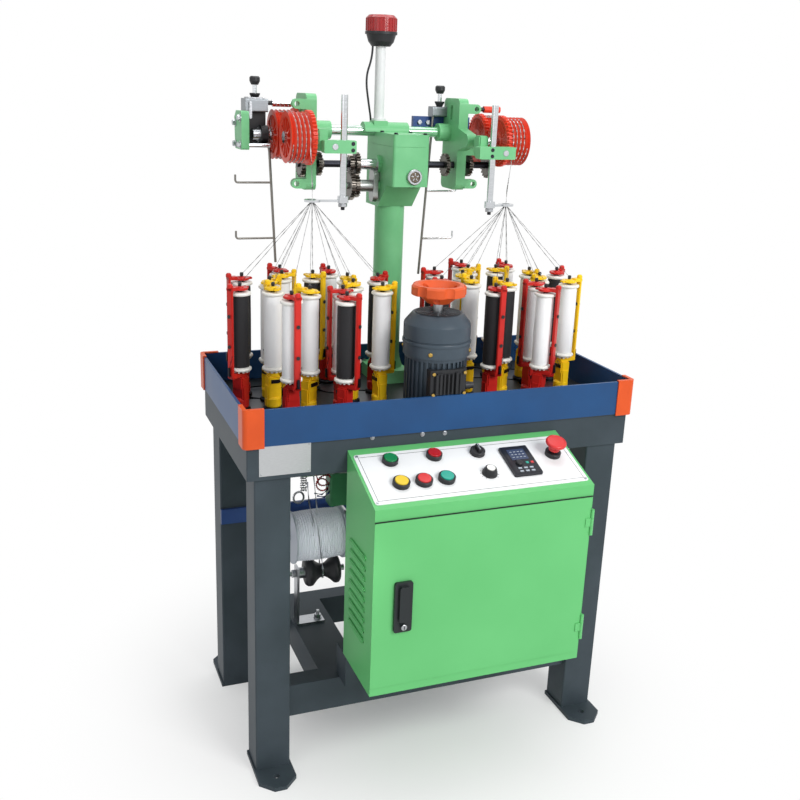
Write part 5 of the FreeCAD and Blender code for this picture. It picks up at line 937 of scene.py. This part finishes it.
# Clear tinted polycarbonate over an unlit lamp: deep colour, sharp gloss.
clear_green = plastic("green_lamp_lens", "#1d9a5a", 0.12, clear=0.3)
clear_red = plastic("red_lamp_lens", "#d3232b", 0.12, clear=0.3)
# Solid moulded caps, bright and slightly soft.
button_yellow = plastic("button_yellow", "#f2cf3a", 0.28)
button_red = plastic("button_red", "#df3a3c", 0.28)
button_teal = plastic("button_teal", "#22a893", 0.28)
stop_red = plastic("emergency_stop_red", "#dd3b3c", 0.3)
# Dark smooth glass over a bluish display, with grey rubber keys.
screen = plastic("display_glass", "#22242c", 0.1)
screen_blue = plastic("display_tint", "#3d4a66", 0.15)
key_grey = plastic("display_keys", "#b9c2cc", 0.3)
dress(button_yellow, "yellow_button")
dress(button_red, "red_button")
dress(button_teal, "teal_button")
dress(stop_red, "estop_button")
dress(black_moulding, "selector_knob", "speed_knob")


def over(name):
    """The seat of a control on the sloped plate."""
    return on_slope @ at(*PLACES[name], 0)


def paint_control(material, name, reach, rises):
    """Paint the faces of the plate's node that stand between two rises round one control."""
    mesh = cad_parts["panel_plate"].data
    mesh.materials.append(material)
    (across, up), flat = PLACES[name], on_slope.inverted()
    for face in mesh.polygons:
        x, s, rise = flat @ (face.center * 1000)
        if abs(x - across) <= reach[0] and abs(s - up) <= reach[1] and rises[0] <= rise <= rises[1]:
            face.material_index = len(mesh.materials) - 1


BEZEL = (15.5, 15.5)
BEZEL_RISES = (1.6, 6)
for lamp, glass in (("green_lamp", clear_green), ("red_lamp", clear_red)):
    paint_control(black_moulding, lamp, BEZEL, BEZEL_RISES)
    paint_control(glass, lamp, (12.2, 12.2), (5.6, 12))
for control in ("yellow_button", "red_button", "teal_button", "selector_knob", "speed_knob"):
    paint_control(black_moulding, control, BEZEL, BEZEL_RISES)
paint_control(screen, "display", (35, 48), (1.6, 8))
paint_control(black_moulding, "estop_button", BEZEL, (1.6, 12))

block((101, 52, 7.4), (161, 140, 8.2), 0, 0.6, on_slope)
block((110, 96, 8.1), (152, 132, 8.9), 1, 0.5, on_slope)
for row in range(2):
    for key in range(3):
        block((112 + key * 14, 56 + row * 10, 8.0), (122 + key * 14, 62 + row * 10, 9.0), 3, 0.8, on_slope)
stud(8, 8.1, 13.5, 2, 24, on_slope @ at(122, 85, 0), edge=(1.5, 1.5))
for x, colour in ((138, 4), (150, 5)):
    block((x, 81, 8.0), (x + 8, 89, 9.0), colour, 0.8, on_slope)
for digit in range(4):
    for rung in range(3):
        x, s = 115 + digit * 9, 104 + rung * 9
        block((x, s, 8.8), (x + 5, s + 1.6, 9.2), 3, 0, on_slope)
piece("display_face", "black_plastic", screen, screen_blue, black_moulding, key_grey, button_teal,
      button_red)

block((18.5, -0.5, PLATE_MM), (21.5, 0.5, 1.75), 0, 0)
repeat("speed_dial_ticks", black_moulding, DIAL_TICKS, turn=DIAL_STEP, first=DIAL_FIRST,
       seat=over("speed_knob"))

# Each lamp and button sits in a ring of some radius, with its coloured face nearly flush with the ring.
FACES = {"yellow_button": (18.8, button_yellow, "button_yellow"),
         "red_button": (18.8, button_red, "button_red"),
         "teal_button": (18.8, button_teal, "button_teal"),
         "green_lamp": (17.8, clear_green, "button_teal"),
         "red_lamp": (17.8, clear_red, "lens_red")}
for name, (radius, _, _) in FACES.items():
    stud(radius, PLATE_MM, RING_TOP, 0, 40, over(name), edge=(1, 1), bore=RING_BORE)
for name in ("selector_knob", "speed_knob"):
    stud(17.2, PLATE_MM, 5.4, 0, 40, over(name), edge=(0.8, 0.8), bore=COLLAR_BORE)
stud(18, PLATE_MM, 11.6, 0, 40, over("estop_button"), edge=(1.2, 1.1), bore=COLLAR_BORE)
piece("control_rings", "black_plastic", black_moulding)
for name, (_, colour, slot) in FACES.items():
    revolve([(0, 9.4), (14.6, 9.4), (14.6, 13.6), (13.6, 14.8), (0, 15.2)], 0, 40, over(name))
    piece(name + "_face", slot, colour, body=name if name.endswith("button") else "machine")

# The knobs have a skirt that covers the ring, and a white cap or a bright line shows how they are set.
revolve([(SKIRT_BORE, 6.2), (16, 6.2), (15.6, 8.5), (12.6, 17), (SKIRT_BORE, 17), (SKIRT_BORE, 6.2)], 0, 40,
        over("speed_knob"))
stud(9.5, 17.9, 19.4, 1, 32, over("speed_knob"), edge=(0.7, 0.5))
piece("speed_knob_skirt_and_cap", "black_plastic", black_moulding, nylon, body="speed_knob")
stud(16.8, 6.2, 11.6, 0, 40, over("selector_knob"), edge=(1.2, 1.1), bore=SKIRT_BORE)
block((-1.3, -10, 18.6), (1.3, 11, 20.6), 1, 0.3, over("selector_knob"))
block((-1.3, 10.4, 11), (1.3, 11.8, 20.6), 1, 0.3, over("selector_knob"))
piece("selector_skirt_and_line", "black_plastic", black_moulding, bright_steel, body="selector_knob")

# The emergency stop has a wide mushroom head with a turned rim.
revolve([(0, 16.5), (12.6, 16.5), (13.6, 22), (15.5, 27), (20.6, 30.5), (23.4, 33.5), (23.6, 37.5),
         (22.4, 40), (19.5, 41), (18.8, 40.2), (10, 41), (0, 41.4)], 0, 56, over("estop_button"))
piece("emergency_stop_head", "button_red", stop_red, body="estop_button", sharp=50)

# A hairline is printed round the plate, which is held by a screw at each corner.
LEFT, FOOT, RIGHT, HEAD = -226, 24, 255, 163.9
LINE_WIDE = 0.9
for x, s, end_x, end_s in ((LEFT, FOOT, RIGHT, FOOT + LINE_WIDE), (LEFT, HEAD - LINE_WIDE, RIGHT, HEAD),
                           (LEFT, FOOT, LEFT + LINE_WIDE, HEAD), (RIGHT - LINE_WIDE, FOOT, RIGHT, HEAD)):
    block((x, s, 1.5), (end_x, end_s, 1.7), 0, 0, on_slope)
piece("printed_hairline", "black_plastic", black_moulding)
bolt_row("panel_screws", 0.0028, bright_steel,
         [(on_slope @ Vector((x, s, 1.6)) / 1000, on_slope.to_3x3() @ Vector(UP))
          for x in (-228, 257) for s in (20, 167)])

# ---- Rating plate, cord reel and things under the table ----
# A blank aluminium plate is riveted to the apron; the reel is moulded and holds pale cord on a steel
# axle, the dark roller below it guides the cord, and a blue flat bar carries both.
REEL_AXIS = at(0, 60, 451.5, "right")
ROLLER_AXIS = at(0, 60, 349, "right")
ROLLER_STEPS = 12
CORD_TURNS = 21
CORD_R_MM = 2.3
REEL_LEFT = -282.4
TURN_PITCH = 124 / CORD_TURNS
# Brushed and anodised aluminium, with fine lines along the plate.
plate_silver = machined("brushed_blank_plate", "#cfd1d3", 0.36, line_mm=1.0, along=(1, 10, 10))
# Moulded reel and spun polyester cord, both matt and cool white.
reel_grey = plastic("reel_grey", "#c3c9d4", 0.4)
cord_white = plastic("pale_polyester_cord", "#eef1fa", 0.6)
# The castings' green painted darker, as painted shade for the block in the shadow under the table.
shade_painted_green = enamel("block_green_with_painted_shade", "#3c7a52", "#326a47", 0.42)
# Wire insulation, smooth and slightly glossy.
red_wire = plastic("red_wire_insulation", "#cf2a2e", 0.35)
blue_wire = plastic("blue_wire_insulation", "#23407f", 0.35)
dress(reel_grey, "cord_spool")
dress(bright_steel, "under_table_brackets")
paint("table_frame", (plate_silver, (-435, -235, 741), (-321, -233.2, 811)))
# The stop-motion block takes the castings' green darkened as painted shade.
paint("under_table_brackets",
      (bracket_blue, (-445, 137.5, 470), (445, 147, 511)),
      (shade_painted_green, (-192, 37, 530), (-144, 83, 618)))

outline = [(9, -250), (25, -250), (33, -247.5), (36.6, -243), (37.4, -238), (36.4, -232)]
for step in range(1, ROLLER_STEPS):
    share = step / ROLLER_STEPS
    outline.append((16.5 + 19.5 * abs(2 * share - 1) ** 1.7, -231 + 56 * share))
outline += [(36.4, -174), (37.4, -169), (36.6, -164.5), (33, -161.5), (25, -160), (9, -160), (9, -250)]
revolve(outline, 0, 48, ROLLER_AXIS)
roller = piece("moulded_guide_roller", "black_plastic", black_moulding, body="guide_roller", sharp=50)
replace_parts(roller, "guide_roller")

winding = [(54.5, -282.6)]
for turn in range(CORD_TURNS):
    bulge = 3.0 * sin(pi * (turn + 0.5) / CORD_TURNS)
    low = REEL_LEFT + turn * TURN_PITCH
    winding.append((57.8 + bulge, low + 0.2))
    winding += [(radius + bulge, low + TURN_PITCH * share)
                for radius, share in ((60.2, 0.25), (61, 0.5), (60.2, 0.75), (57.8, 0.96))]
winding.append((54.5, -158.4))
revolve(winding, 0, 56, REEL_AXIS)
piece("cord_on_reel", "cord_white", cord_white, body="cord_spool", sharp=60)

# One cord runs from the spring guide down behind the reel, another from the reel round the roller.
wire([(-255, 22, 610), (-251, 20, 560), (-247, -2, 512), (-247, -8, 480)], CORD_R_MM)
wire([(-243, 14, 640), (-237, -4, 540), (-234, -9, 480), (-225, -5, 420), (-212, 25, 372), (-206, 40, 349),
      (-205, 46, 335), (-204, 60, 329.2), (-203, 74, 335), (-203, 80, 349), (-203, 100, 420),
      (-203, 118, 470)], CORD_R_MM)
piece("cord_runs_to_roller", "cord_white", cord_white)

# Insulated wires loop from the stop-motion block to the table.
for middle, radius, tilt in (((-212, 40, 592), 15, 0.5), ((-204, 46, 600), 17, -0.35)):
    wire([Vector(middle) + radius * Vector((c, s * sin(tilt), s * cos(tilt))) for c, s in circle(20)[:19]],
         3.0)
for points, radius, colour in (
    ([(-195, 48, 612), (-190, 50, 640), (-186, 56, 680), (-184, 60, 718)], 2.2, 0),
    ([(-222, 44, 604), (-232, 50, 640), (-228, 56, 690), (-224, 60, 720)], 2.2, 0),
    ([(-222, 48, 560), (-205, 44, 556), (-192, 46, 566), (-188, 50, 580)], 3.0, 1),
    ([(-228, 52, 566), (-210, 48, 562), (-195, 50, 572), (-190, 52, 590)], 2.4, 1),
):
    wire(points, radius, colour)
piece("sensor_wires", "black_plastic", red_wire, blue_wire)

# The spring guide hangs on a rod under the table; nuts close the roller's pin and its bracket.
COIL_STEP = 1.1     # radians from one point of the spring to the next
for turn in range(2):
    ring = [(-266 + 13 * c, 58 + 3 * turn, 556 + 15 * s) for c, s in circle(24)]
    wire(ring + ring[:1], 3.0)
wire([(-254 + 7 * cos(COIL_STEP * k), 58 + 7 * sin(COIL_STEP * k), 572 + 1.1 * k) for k in range(72)],
     2.0, 0, 6)
wire([(-254, 58, 648), (-254, 58, 690), (-254, 58, 724)], 3, 0, 10)
block((-264, 50, 612), (-186, 54, 616), 0, 1)
revolve([(0, 0), (10, 0), (11, 1), (11, 9), (10, 10), (0, 10)], 0, 6, at(-283, 60, 349, "right"))
stud(6, 0, 13, 0, 14, at(-294, 60, 349, "right"), edge=(1, 1))
foot_seat = at(-213, 60, 214.8)
stud(11, 0, 2, 0, 24, foot_seat)
revolve([(0, 1.8), (9, 1.8), (9.5, 3), (9.5, 9), (8.5, 10), (0, 10)], 0, 6, foot_seat)
stud(4.5, 9.5, 21, 0, 14, foot_seat, edge=(0.5, 1))
piece("spring_guide_and_bolts", "gear_steel", bright_steel)

FORWARD = (0, -1, 0)
bolt_row("rating_plate_rivets", 0.0018, bright_steel,
         [((x, -0.23401, z), FORWARD) for x in (-0.430, -0.326) for z in (0.746, 0.806)])
bolt_row("apron_screws", 0.0042, bright_steel,
         [((x, -0.2331, z), FORWARD) for x, z in ((-0.184, 0.806), (-0.067, 0.803), (-0.013, 0.801))])
